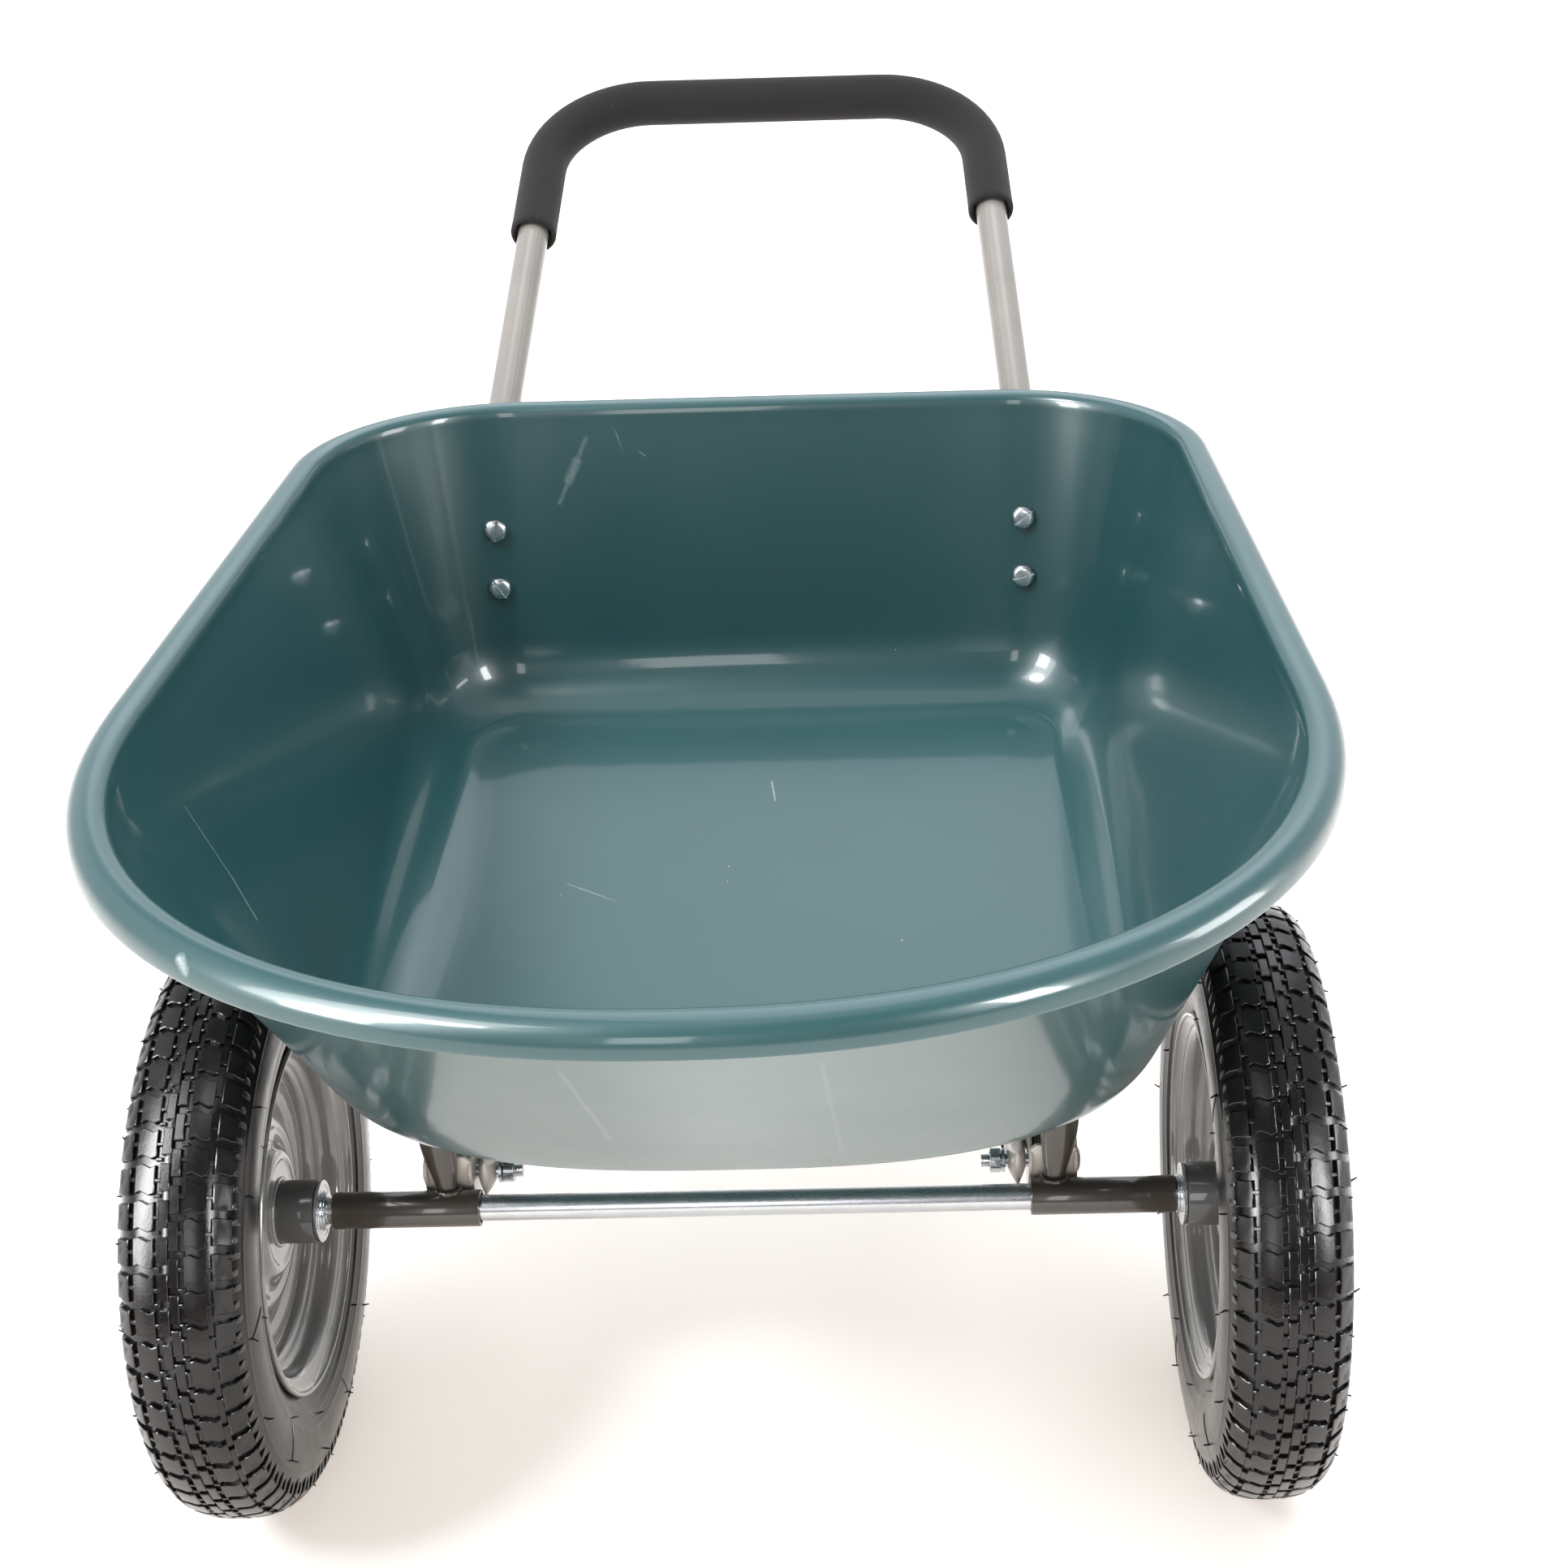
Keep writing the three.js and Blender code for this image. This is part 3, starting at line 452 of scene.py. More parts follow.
def paint_finish(name, slot, tone, dark, roughness):
    made = Finish(name, slot, IOR=1.5, Metallic=0.0, Coat_Weight=0.6, Coat_Roughness=0.06)
    dusty = made.mix(made.ramp(made.noise(40, 3, 0.5), (0.3, 0), (0.75, 1)), tone, dark)
    specks = made.math("MULTIPLY", made.specks(9, 0.04), 0.25)
    made.set(Base_Color=made.mix(specks, dusty, tuple(c * 0.3 for c in dark)),
             Roughness=made.scaled(made.noise(14, 4), 0.16, roughness - 0.08),
             Normal=made.bump(made.noise(1.6, 3, 0.6), 0.03, 0.4))
    return made


def zinc_finish():
    made = Finish("zinc", "zinc", Metallic=1.0)
    grain = made.noise(3, 6, 0.75, stretch=(0.15, 1.5, 1.5))
    made.set(Base_Color=made.mix(made.noise(18, 5, 0.65), colour(206, 207, 208), colour(180, 184, 188)),
             Roughness=made.scaled(grain, 0.2, 0.16),
             Normal=made.bump(grain, 0.015, 0.5, made.bump(made.noise(4, 4, 0.6), 0.02, 0.4)))
    return made


def foam_finish():
    made = Finish("grip_foam", "grip_foam", IOR=1.35, Roughness=0.92, Sheen_Weight=0.08, Sheen_Roughness=0.5)
    tone = made.mix(made.noise(35, 4), colour(24, 23, 22), colour(31, 29, 28))
    made.set(Base_Color=made.mix(made.specks(14, 0.035), tone, colour(150, 145, 140)),
             Normal=made.bump(made.noise(0.7, 3, 0.7), 0.35, 0.7))
    return made


def rubber_finish():
    made = Finish("tyre_rubber", "tyre_rubber", IOR=1.46)
    smear = made.noise(22, 5, 0.65)
    made.set(Base_Color=made.mix(smear, colour(8, 7, 7), colour(24, 19, 15)),
             Roughness=made.scaled(smear, 0.32, 0.06),
             Normal=made.bump(made.noise(1.3, 4, 0.7), 0.12, 0.55, made.bump(made.noise(9, 3), 0.4, 0.3)))
    return made


def rim_finish():
    made = Finish("rim_paint", "rim_paint", IOR=1.5, Coat_Weight=1.0, Coat_Roughness=0.03)
    streak = made.noise(16, 6, 0.7, stretch=(2.2, 1, 1))
    made.set(Base_Color=made.mix(streak, colour(134, 132, 130), colour(118, 116, 114)),
             Roughness=made.scaled(streak, 0.1, 0.2),
             Normal=made.bump(made.noise(9, 4), 0.15, 0.5, made.bump(made.noise(1.8, 3), 0.03, 0.4)),
             Coat_Normal=made.bump(made.noise(30, 2), 0.5, 0.4))
    return made


PLASTIC = plastic_finish()
PAINT = paint_finish("frame_paint", "frame_paint", colour(140, 135, 129), colour(131, 126, 121), 0.3)
# A darker copy of the frame paint for the axle sleeves and struts: painted shade for the shade under the tub.
SHADED_PAINT = paint_finish("dark_paint", "dark_paint", colour(64, 57, 50), colour(57, 51, 44), 0.3)
# A lighter copy of the frame paint for the bracket and brace: painted light, making up for the bounce light
# and floor reflection that their shade takes away.
LIT_PAINT = paint_finish("frame_paint_painted_lit", "frame_paint", colour(205, 198, 190), colour(190, 184, 176), 0.25)
ZINC = zinc_finish()
FOAM = foam_finish()
RUBBER = rubber_finish()
TUBE_RUBBER = paint_finish("tube_rubber", "tube_rubber", colour(34, 34, 34), colour(24, 24, 24), 0.6)
RIM = rim_finish()
HUB = paint_finish("hub_paint", "rim_paint", colour(76, 74, 73), colour(66, 65, 64), 0.5)


def piece(name, shape, finish, nodes, body="frame", place=None, sharp=35, tidy=True):
    """Makes a shape an object that rides on a body and stands for CAD nodes, with its origin at place."""
    points, faces = shape
    shift = Vector() if place else Vector(own((0, 0, 0)))
    mesh = bpy.data.meshes.new(name)
    mesh.from_pydata([(p + shift) * MM for p in points], [], faces)
    work = bmesh.new()
    work.from_mesh(mesh)
    bmesh.ops.remove_doubles(work, verts=work.verts, dist=1e-6)
    if tidy:
        bmesh.ops.recalc_face_normals(work, faces=work.faces)
    work.to_mesh(mesh)
    work.free()
    mesh.shade_smooth()
    mesh.set_sharp_from_angle(angle=math.radians(sharp))
    mesh.materials.append(finish.material)
    made = bpy.data.objects.new(name, mesh)
    if place:
        made.location = Vector(own(place)) * MM
    bpy.context.scene.collection.objects.link(made)
    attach(made, body)
    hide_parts(*nodes)
    return made


# ---- where things lie ----
def rim_height(y):
    return RIM_PLANE_Z + RIM_FALL * y


def floor_height(y):
    return FLOOR_Z + FLOOR_RISE * y


WALL_FOOT_Z = floor_height(TUB_FLOOR["tail"])
WALL_TOP_Z = rim_height(TUB_RIM["tail"]) + ROLL_FOOT
WALL_TOP_Y = TUB_RIM["tail"] - ROLL_WIDTH
WALL_LEAN = (WALL_TOP_Y - TUB_FLOOR["tail"]) / (WALL_TOP_Z - WALL_FOOT_Z)


def tail_normal(side):
    return Vector((side * math.sin(TAIL_TURN), math.cos(TAIL_TURN), -WALL_LEAN)).normalized()


def wall_spot(side, z):
    """The point of the rear wall's inner face on a bolt line, at one height."""
    share = (z - WALL_FOOT_Z) / (WALL_TOP_Z - WALL_FOOT_Z)
    corner_x = between(*(o["tail_half"] - o["corner"] for o in (TUB_FLOOR, TUB_RIM)), share)
    tail_y = between(TUB_FLOOR["tail"], WALL_TOP_Y, share)
    return Vector((side * BOLT_X, tail_y - (BOLT_X - corner_x) * math.tan(TAIL_TURN), z))


def behind_wall(side, z):
    spot = wall_spot(side, z) + tail_normal(side) * TUBE_STAND_OFF
    return Vector((spot.x, spot.y, z))


def below_floor(x, y):
    return Vector((x, y, floor_height(y) - TUBE_STAND_OFF))


def up_wall(side):
    return (behind_wall(side, SOCKET_Z) - behind_wall(side, SOCKET_Z - 50)).normalized()


def mirrored(points):
    return [Vector((-p.x, p.y, p.z)) for p in reversed(points)]


def handle_corners():
    foot = behind_wall(-1, SOCKET_Z + 1)
    grip = Vector((-GRIP_BAR.x, *GRIP_BAR.yz))
    up = up_wall(-1)
    rise = math.tan(HANDLE_SLOPE)
    climb = (grip.z - foot.z - (grip.y - foot.y) * rise) / (up.z - up.y * rise)
    return [foot, foot + up * climb, grip]


def rail_path(side):
    bolt = Vector((side * STRUT_X, *CROSS_BOLT))
    knee = below_floor(side * STRUT_X, KNEE_Y)
    heel = behind_wall(side, WALL_FOOT_Z - TUBE_STAND_OFF)
    front = bolt + (bolt - knee).normalized() * RAIL_END
    return rounded([front, knee, heel, behind_wall(side, SOCKET_Z)], RAIL_BENDS, 14)


# ---- tub ----
def half_outline(o):
    """Half of a tub outline seen from above, from the nose's tip round to the middle of the tail."""
    nose_steps, side_steps, corner_steps, tail_steps = 34, 10, 14, 8
    points = []
    for a in angles(4 * nose_steps)[:nose_steps + 1]:
        reach = (o["nose_start"] - o["nose"]) * max(math.cos(a), 0) ** (2 / o["power"])
        points.append(Vector((o["half_width"] * math.sin(a) ** (2 / o["power"]), o["nose_start"] - reach)))
    corner = Vector((o["tail_half"] - o["corner"], o["tail"] - o["corner"]))
    side_end = Vector((o["tail_half"], corner.y))
    points += [points[-1].lerp(side_end, i / side_steps) for i in range(1, side_steps)]
    points += [corner + o["corner"] * Vector((math.cos(a), math.sin(a)))
               for a in angles(4 * corner_steps)[:corner_steps + 1]]
    points += [Vector((corner.x * (1 - i / tail_steps), o["tail"])) for i in range(1, tail_steps + 1)]
    return points


def outline(o):
    half = half_outline(o)
    return [*half, *[Vector((-p.x, p.y)) for p in reversed(half[1:-1])]]


def outward(points):
    """Level outward directions along an outline."""
    found = []
    for i in range(len(points)):
        along = points[(i + 1) % len(points)] - points[i - 1]
        found.append(Vector((along.y, -along.x)).normalized())
    return found


# The rolled lip's section: distance out and height from the rim's plane.
ROLL = [(0, ROLL_FOOT), (0.9, -5.6), (2.6, -2.2), (6, -0.3), (10.5, 0.1), (15, -1.2), (18.4, -4.2), (20, -8),
        (ROLL_WIDTH, -13), (19.6, -14.4), (18, -14), (17.2, -12.4), (16.4, -8.4), (13.4, -5), (9.6, -3.8),
        (6.6, -5.4), (4.6, -9.5)]


def tub_shape():
    edge, foot = outline(TUB_RIM), outline(TUB_FLOOR)
    middle = Vector((0, 170, floor_height(170)))
    roll = smooth_profile(ROLL, 3)
    floor_shares = (0.25, 0.5, 0.75, 0.93)
    fillet_shares = [k / 12 for k in range(13)]
    wall_shares = (0.15, 0.4, 0.65, 0.85, 0.95)
    columns = []
    for f, p, o in zip(foot, edge, outward(edge)):
        b = Vector((f.x, f.y, floor_height(f.y)))
        lip = [Vector((*(p + o * (out - ROLL_WIDTH)), rim_height(p.y) + up)) for out, up in roll]
        start = b + (middle - b).normalized() * TUB_FILLET
        end = b + (lip[0] - b).normalized() * TUB_FILLET
        column = [middle.lerp(start, share) for share in floor_shares]
        column += [start * (1 - s) ** 2 + b * 2 * s * (1 - s) + end * s * s for s in fillet_shares]
        column += [end.lerp(lip[0], share) for share in wall_shares]
        columns.append([*column, *lip])
    rows = list(zip(*columns))
    inside_count = len(rows) - len(roll)
    outside = []
    for r, row in enumerate(rows[:inside_count]):
        moved_row = []
        for i, p in enumerate(row):
            along = row[(i + 1) % len(row)] - row[i - 1]
            up = rows[r + 1][i] - rows[max(r - 1, 0)][i]
            moved_row.append(p + along.cross(up).normalized() * TUB_WALL)
        outside.append(moved_row)
    points, faces = skin([*rows, *reversed(outside)])
    count = len(edge)
    last = len(points) - count
    points += [middle, middle - Z_AXIS * TUB_WALL]
    for i in range(count):
        j = (i + 1) % count
        faces += [(len(points) - 2, i, j), (len(points) - 1, last + j, last + i)]
    return points, faces


def build_tub():
    piece("tub_shell", tub_shape(), PLASTIC, ["tub"], sharp=50)


# ---- tubes ----
def build_handle():
    half = handle_corners()
    path = rounded([*half, *mirrored(half)], [HANDLE_BEND, HANDLE_CORNER, HANDLE_CORNER, HANDLE_BEND], 16)
    parts = [tube(path, TUBE_RADIUS, TUBE_BORE, 36, seam=3.72)]
    for side, _ in SIDES:
        foot = behind_wall(side, SOCKET_Z + 1)
        up = up_wall(side)
        parts.append(tube([foot + up * 2, foot - up * SPIGOT], 9.3, 7.8, 28))
    piece("push_handle_tube", merged(*parts), PAINT, ["push_handle"])
    build_grip(path)


# The foam's ends: distance in from the end, swell of its outside, and how far its bore opens.
GRIP_MOUTH = ((0, 0.93, 3.4), (0.8, 0.985, 3), (2.4, 1.012, 2.6), (6, 1.01, 1.6), (14, 1.0, 0.8))


def build_grip(path):
    """The foam sleeve over the bar of the handle's path, with softened ends."""
    start = next(i for i, p in enumerate(path) if p.y > GRIP_END_Y[1])
    bar_points = [p for p in path if p.y > GRIP_END_Y[1]]
    below, above = path[start - 1], path[start]
    ends = []
    for side, _ in SIDES:
        end = below.lerp(above, (GRIP_END_Y[side] - below.y) / (above.y - below.y))
        ends.append(Vector((-side * end.x, end.y, end.z)))
    inward = (bar_points[0] - ends[0]).normalized()
    back = (bar_points[-1] - ends[1]).normalized()
    whole = [*[ends[0] + inward * d for d, _, _ in GRIP_MOUTH], *bar_points,
             *[ends[1] + back * d for d, _, _ in reversed(GRIP_MOUTH)]]
    outer, inner = [], []
    for i, (point, u, v) in enumerate(frames(whole)):
        near = min(i, len(whole) - 1 - i)
        _, swell, opening = GRIP_MOUTH[near] if near < len(GRIP_MOUTH) else (0, 1, 0.5)
        outer.append(oval(point, u, v, GRIP_RADIUS * swell, GRIP_RADIUS * swell, 40))
        inner.append(oval(point, u, v, TUBE_RADIUS + opening, TUBE_RADIUS + opening, 40))
    made = piece("foam_grip_sleeve", skin([*outer, *reversed(inner)], wrap=True), FOAM, ["foam_grip"],
                 sharp=70)


# The stand's flattened ends: distance above the bolt, and half sizes along and across the tube's flat.
TAB_STATIONS = ((10, 3, 9), (-2, 3, 11.8), (-16, 3.6, 11.8), (-24, 7, 11), (-34, 9, 9.4))


def squared(value, power):
    return math.copysign(abs(value) ** power, value)


def build_stand():
    foot = {side: Vector((side * STAND_X, STAND_FOOT_Y, STAND_RADIUS)) for side, _ in SIDES}
    bolt = {side: Vector((side * STAND_X, *STAND_TOP)) for side, _ in SIDES}
    rise = (bolt[1] - foot[1]).normalized()
    tilt = X_AXIS.cross(rise)
    path = rounded([bolt[-1] - rise * 14, foot[-1], foot[1], bolt[1] - rise * 14], [STAND_CORNER] * 2, 16)
    parts = [tube(path, STAND_RADIUS, STAND_BORE, 32, seam=0.9)]
    for side, _ in SIDES:
        rows = [[bolt[side] + rise * along + X_AXIS * (deep * squared(math.cos(a), 0.5))
                 + tilt * (wide * squared(math.sin(a), 0.7)) for a in angles(32)]
                for along, deep, wide in TAB_STATIONS]
        parts.append(skin(rows, caps=True))
    piece("stand_leg_tube", merged(*parts), PAINT, ["stand_leg"])


# The strut's sections: share of the way up, half width and half depth.
STRUT_LEVELS = ((0, 6.2, 4.2), (0.05, 6, 4.1), (0.12, 6.4, 4.4), (0.22, 7.9, 5.4), (0.36, 9.6, 7.4),
                (0.55, 10.8, 9), (0.8, 11.2, 8.8), (0.92, 11.2, 8), (1, 11.4, 7.4))
PLATE_Z = floor_height(FLOOR_BOLT[1]) - TUB_WALL - PLATE - GAP


def strut_shape(side):
    """A tube pinched at its foot, where it is welded to the sleeve, and flattened below its plate."""
    foot = Vector((side * STRUT_X, STRUT_FOOT_Y, AXLE_Z + SLEEVE_RADIUS - 4))
    rise = Vector((side * STRUT_X, FLOOR_BOLT[1], PLATE_Z)) - foot
    rows = []
    for share, wide, deep in STRUT_LEVELS:
        lean = X_AXIS * (side * STRUT_LEAN * min(share * 2, 1))
        rows.append(oval(foot + rise * share + lean, X_AXIS, Y_AXIS, wide, deep))
    return skin(softened(rows), caps=True)


def plate_shape(side):
    """The bolting plate under the tub's floor, with rounded corners."""
    half_x, half_y, corner = 23, 15, 5
    rows = []
    for z, inset in ((0, 0.5), (0.5, 0), (PLATE - 0.5, 0), (PLATE, 0.5)):
        row = []
        for sx, sy, start in ((1, 1, 0), (-1, 1, 0.5), (-1, -1, 1), (1, -1, 1.5)):
            for k in range(5):
                a = (start + k / 8) * math.pi
                x = sx * (half_x - corner) + (corner - inset) * math.cos(a)
                y = sy * (half_y - corner) + (corner - inset) * math.sin(a)
                row.append(Vector((side * (STRUT_X - 9) + x, FLOOR_BOLT[1] + y,
                                   PLATE_Z - 0.4 + z + FLOOR_RISE * y)))
        rows.append(row)
    return skin(rows, caps=True)


def bead(points, thick, seed):
    """A weld bead: a lumpy rope of metal round a closed line of points."""
    draw = random.Random(seed)
    rows = []
    for i, (point, u, v) in enumerate(frames([*points, points[0]])):
        r = thick * (0.82 + 0.3 * abs(math.sin(i * 1.9)) + draw.uniform(-0.08, 0.08))
        rows.append(oval(point, u, v, r, r, 10))
    return skin(rows[:-1], wrap=True)


def foot_bead(side):
    """The weld around the strut's foot, on the sleeve's round top."""
    points = []
    for a in angles(40):
        y = STRUT_FOOT_Y + 5.2 * math.sin(a)
        points.append(Vector((side * STRUT_X + 7 * math.cos(a), y,
                              AXLE_Z + math.sqrt(SLEEVE_RADIUS ** 2 - y * y) + 0.3)))
    return bead(points, 1.5, 5 + side)


def bracket_shape(side):
    """A folded channel: a front web and a floor between two cheeks with round tails."""
    middle = Vector((24, (BRACKET_TOP + BRACKET_FOOT) / 2))
    reach = (BRACKET_TOP - BRACKET_FOOT) / 2
    tail = [Vector((27 + reach * math.sin(a), middle.y - reach * math.cos(a))) for a in angles(32)[1:16]]
    cheek = [Vector((8, BRACKET_FOOT)), Vector((27, BRACKET_FOOT)), *tail, Vector((24, BRACKET_TOP)),
             *[Vector(p) for p in ((10, 191.5), (6.4, 186), (10.2, 176), (11.4, 168), (9.6, 160))]]
    parts = []
    for way in (-1, 1):
        outer_x = side * STRUT_X + way * BRACKET_HALF
        rows = []
        for depth, inset in ((0, 0.5), (0.5, 0), (BRACKET_SHEET - 0.4, 0), (BRACKET_SHEET, 0.4)):
            edge = (p + (middle - p).normalized() * inset for p in cheek)
            rows.append([Vector((outer_x - way * depth, *p)) for p in edge])
        parts.append(skin(rows, caps=True))
    half = BRACKET_HALF - 0.5
    level = [(-half, 9), (half, 9), (half, 30), (-half, 30)]
    parts.append(skin([[Vector((side * STRUT_X + x, y, z)) for x, y in level]
                       for z in (BRACKET_FOOT, BRACKET_FOOT + BRACKET_SHEET)], caps=True))
    face = ((-13.4, BRACKET_FOOT + 1), (13.4, BRACKET_FOOT + 1), (13.4, 193), (10, BRACKET_TOP),
            (-10, BRACKET_TOP), (-13.4, 193))
    web = [[Vector((side * STRUT_X + x * (1 - inset / 13), BRACKET_WEB_Y + depth, z)) for x, z in face]
           for depth, inset in ((0, 0.5), (0.5, 0), (BRACKET_SHEET, 0))]
    return merged(*parts, skin(web, caps=True))


# The brace's flattened end: distance from its bolt, half thickness and half height.
BRACE_STATIONS = ((-12, 0.5, 10.6), (-10.4, 2.4, 10.5), (-4, 5.2, 9.6), (6, 6, 9), (22, 6, 9), (34, 7, 9),
                  (48, 8.2, 8.4))


def brace_shape(side):
    front = Vector((side * (STRUT_X - BRACKET_HALF - GAP - BRACE_HALF), *CROSS_BOLT))
    rear = Vector((side * (STAND_X - STAND_RADIUS - GAP - BRACE_HALF), *BRACE_REAR))
    along = (rear - front).normalized()
    length = (rear - front).length
    tilt = along.cross(X_AXIS).normalized()
    stations = [*BRACE_STATIONS, *[(length - d, wide, deep) for d, wide, deep in reversed(BRACE_STATIONS)]]
    rows = [oval(front + along * d, tilt.cross(along), tilt, wide, deep) for d, wide, deep in stations]
    return skin(softened(rows), caps=True)


def build_side(side, name):
    def lay(label, shape, finish, node):
        piece(f"{label}_{name}", shape, finish, [f"{node}_{name}"])

    lay("side_rail_tube", tube(rail_path(side), TUBE_RADIUS, TUBE_BORE, 36, seam=2.2), PAINT, "side_rail")
    near, far = SLEEVE_X[side]
    sleeve = ring(side * near, side * far, 8.6, SLEEVE_RADIUS, 56, 0.7)
    # The sleeve and strut get the darker copy of the frame paint, with painted shade in it.
    lay("axle_sleeve_tube", shifted(sleeve, z=AXLE_Z), SHADED_PAINT, "axle_sleeve")
    lay("axle_strut_post", merged(strut_shape(side), plate_shape(side), foot_bead(side)), SHADED_PAINT, "axle_strut")
    # The bracket and brace get the lighter copy of the frame paint, with painted light in it.
    lay("axle_bracket_channel", bracket_shape(side), LIT_PAINT, "axle_bracket")
    lay("stand_brace_tube", brace_shape(side), LIT_PAINT, "stand_brace")


# ---- fasteners ----
def shank(start, length, radius):
    """A bolt's body along X, plain and then threaded at its end."""
    plain = bar([(start, radius), (length - THREAD_LENGTH, radius)], 24)
    return merged(plain, thread(length - THREAD_LENGTH - 0.2, length, radius))


def slotted_head(radius, half_slot, depth):
    """A low dome with a real slot across it, along X with its seat at x = 0."""
    steps = 28
    across = [radius * math.sin(math.pi / 2 * (2 * i / steps - 1)) for i in range(steps + 1)]
    slot = [-half_slot, -half_slot + 0.01, half_slot - 0.01, half_slot]
    rows = []
    for y in sorted([y for y in across if abs(y) > half_slot + 0.2] + slot):
        half = math.sqrt(max(radius * radius - y * y, 0.0004))
        row = []
        for k in range(25):
            z = half * math.sin(math.pi / 2 * (k / 12 - 1))
            edge = math.hypot(y, z) / radius
            height = 1.6 + 1.9 * max(1 - edge ** 9, 0) + 0.5 * (1 - edge * edge)
            if abs(y) < half_slot - 0.001:
                height = min(height, 4 - depth)
            row.append(Vector((-height, y, z)))
        rows.append(row)
    wall = ((-1.5, radius - 0.02), (-1.2, radius), (-0.3, radius), (0, radius - 0.3))
    return merged(skin(rows, around=False), skin([round_row(x, r, 64) for x, r in wall], caps=True))


def slotted_bolt(length):
    return merged(slotted_head(7.8, 0.85, 2.6), shank(-1, length, 3))


def hex_bolt(radius, length, across, head):
    return merged(skin(hexagon(across, -head, 0), caps=True), shank(-1, length, radius))


def carriage_bolt(radius, length, reach, height):
    """A bolt with a low smooth dome for a head."""
    dome = [(-height * math.cos(a), max(reach * math.sin(a), 0.01)) for a in angles(40)[:11]]
    head = turned([*dome, (0.1, reach - 0.3), (0.1, 0.01)], 48, closed=False)
    return merged(head, shank(0, length, radius))


def nut(across, height, radius):
    """A hexagonal nut with a countersunk hole."""
    rows = hexagon(across, 0, height)
    hole = ((height, radius + 0.8), (height - 0.8, radius), (0.8, radius), (0, radius + 0.8))
    return skin([*rows, *[round_row(x, r, len(rows[0])) for x, r in hole]], wrap=True)


def spring_washer():
    """A split lock washer: a square wire bent round, its ends a little apart."""
    rows = []
    steps = 40
    for i in range(steps + 1):
        a = 2 * math.pi * (0.02 + 0.96 * i / steps)
        lift = 0.5 * (i / steps - 0.5)
        rows.append([Vector((x + lift, r * math.cos(a), r * math.sin(a)))
                     for x, r in ((0.1, 4.5), (0.1, 6.9), (2.0, 6.9), (2.0, 4.5))])
    return skin(rows, caps=True)


# How far each slot is turned from upright, looking at the head.
SLOT_TURNS = {(-1, 1): 3, (-1, 0): -42, (1, 1): 42, (1, 0): 66}


def build_fasteners(side, name):
    def fasten(label, shape, point, direction, offset, node, spin=0.0):
        """Lays a fastener along a direction, with its seat at an offset from a point."""
        piece(f"{label}_{name}", aimed(shape, point + direction * offset, direction, spin), ZINC,
              [f"{node}_{name}"], sharp=40)

    inward, down, out = -side * X_AXIS, Vector((0, FLOOR_RISE, -1)).normalized(), tail_normal(side)
    small_nut = nut(10, 5, 3.2)
    for level, word in enumerate(("lower", "upper")):
        spot = wall_spot(side, WALL_BOLT_Z[level])
        fasten(f"wall_screw_{word}", slotted_bolt(42), spot, out, -0.8, f"wall_bolt_{word}",
               math.radians(SLOT_TURNS[side, level]))
        fasten(f"wall_hex_nut_{word}", small_nut, spot, out, TUBE_STAND_OFF + TUBE_RADIUS + 1.4,
               f"wall_nut_{word}", 0.3 + level)
    spot = Vector((side * FLOOR_BOLT[0], FLOOR_BOLT[1], floor_height(FLOOR_BOLT[1])))
    fasten("floor_screw", slotted_bolt(18), spot, down, -0.5, "floor_bolt", 0.5 * side)
    fasten("floor_hex_nut", small_nut, spot, down, TUB_WALL + PLATE + 1.5, "floor_nut")
    cross = Vector((side * STRUT_X, *CROSS_BOLT))
    washer_at = BRACKET_HALF + 2 * BRACE_HALF + 3 * GAP
    fasten("cross_hex_bolt", carriage_bolt(4, 2 * BRACKET_HALF + 27, 7.6, 2.6), cross, inward,
           -BRACKET_HALF - GAP, "cross_bolt", 0.2)
    fasten("cross_spring_washer", spring_washer(), cross, inward, washer_at, "lock_washer", 0.6)
    fasten("cross_hex_nut", nut(13, 6.5, 4.2), cross, inward, washer_at + 2.2 + GAP, "cross_nut", 0.4)
    stand = Vector((side * STAND_X, *STAND_TOP))
    fasten("stand_hex_bolt", hex_bolt(3, 40, 10, 4), stand, inward, -TAB_THICK / 2 - 2 * TUBE_RADIUS - 3,
           "stand_bolt", 0.5)
    fasten("stand_hex_nut", small_nut, stand, inward, TAB_THICK / 2 + GAP, "stand_nut")
    low = Vector((side * STAND_X, *BRACE_REAR))
    fasten("brace_hex_bolt", hex_bolt(3, 44, 10, 4), low, inward, -STAND_RADIUS - GAP, "brace_bolt", 0.1)
    fasten("brace_hex_nut", small_nut, low, inward, STAND_RADIUS + 2 * BRACE_HALF + 3 * GAP, "brace_nut", 0.7)


# ---- axle and wheels ----
def build_axle():
    rod = bar([(-AXLE_END_X, 6.4), (1.2 - AXLE_END_X, AXLE_RADIUS), (AXLE_END_X - 1.2, AXLE_RADIUS),
               (AXLE_END_X, 6.4)], 56)
    piece("axle_rod_bar", shifted(rod, z=AXLE_Z), ZINC, ["axle_rod"])
    for side, name in SIDES:
        for label, node, near, far, radius in (
                ("axle_spacer_inner", "axle_washer_inner", SLEEVE_END + GAP, SLEEVE_END + GAP + 1.9, 10.6),
                ("axle_flat_washer_outer", "axle_washer_outer", PIN_X - 2.6, PIN_X - 0.6, 14)):
            washer = ring(side * near, side * far, BORE_RADIUS, radius)
            piece(f"{label}_{name}", shifted(washer, z=AXLE_Z), ZINC, [f"{node}_{name}"])
        pin = shifted(split_pin(), side * PIN_X, z=AXLE_Z)
        piece(f"split_pin_{name}", pin, ZINC, [f"cotter_pin_{name}"])


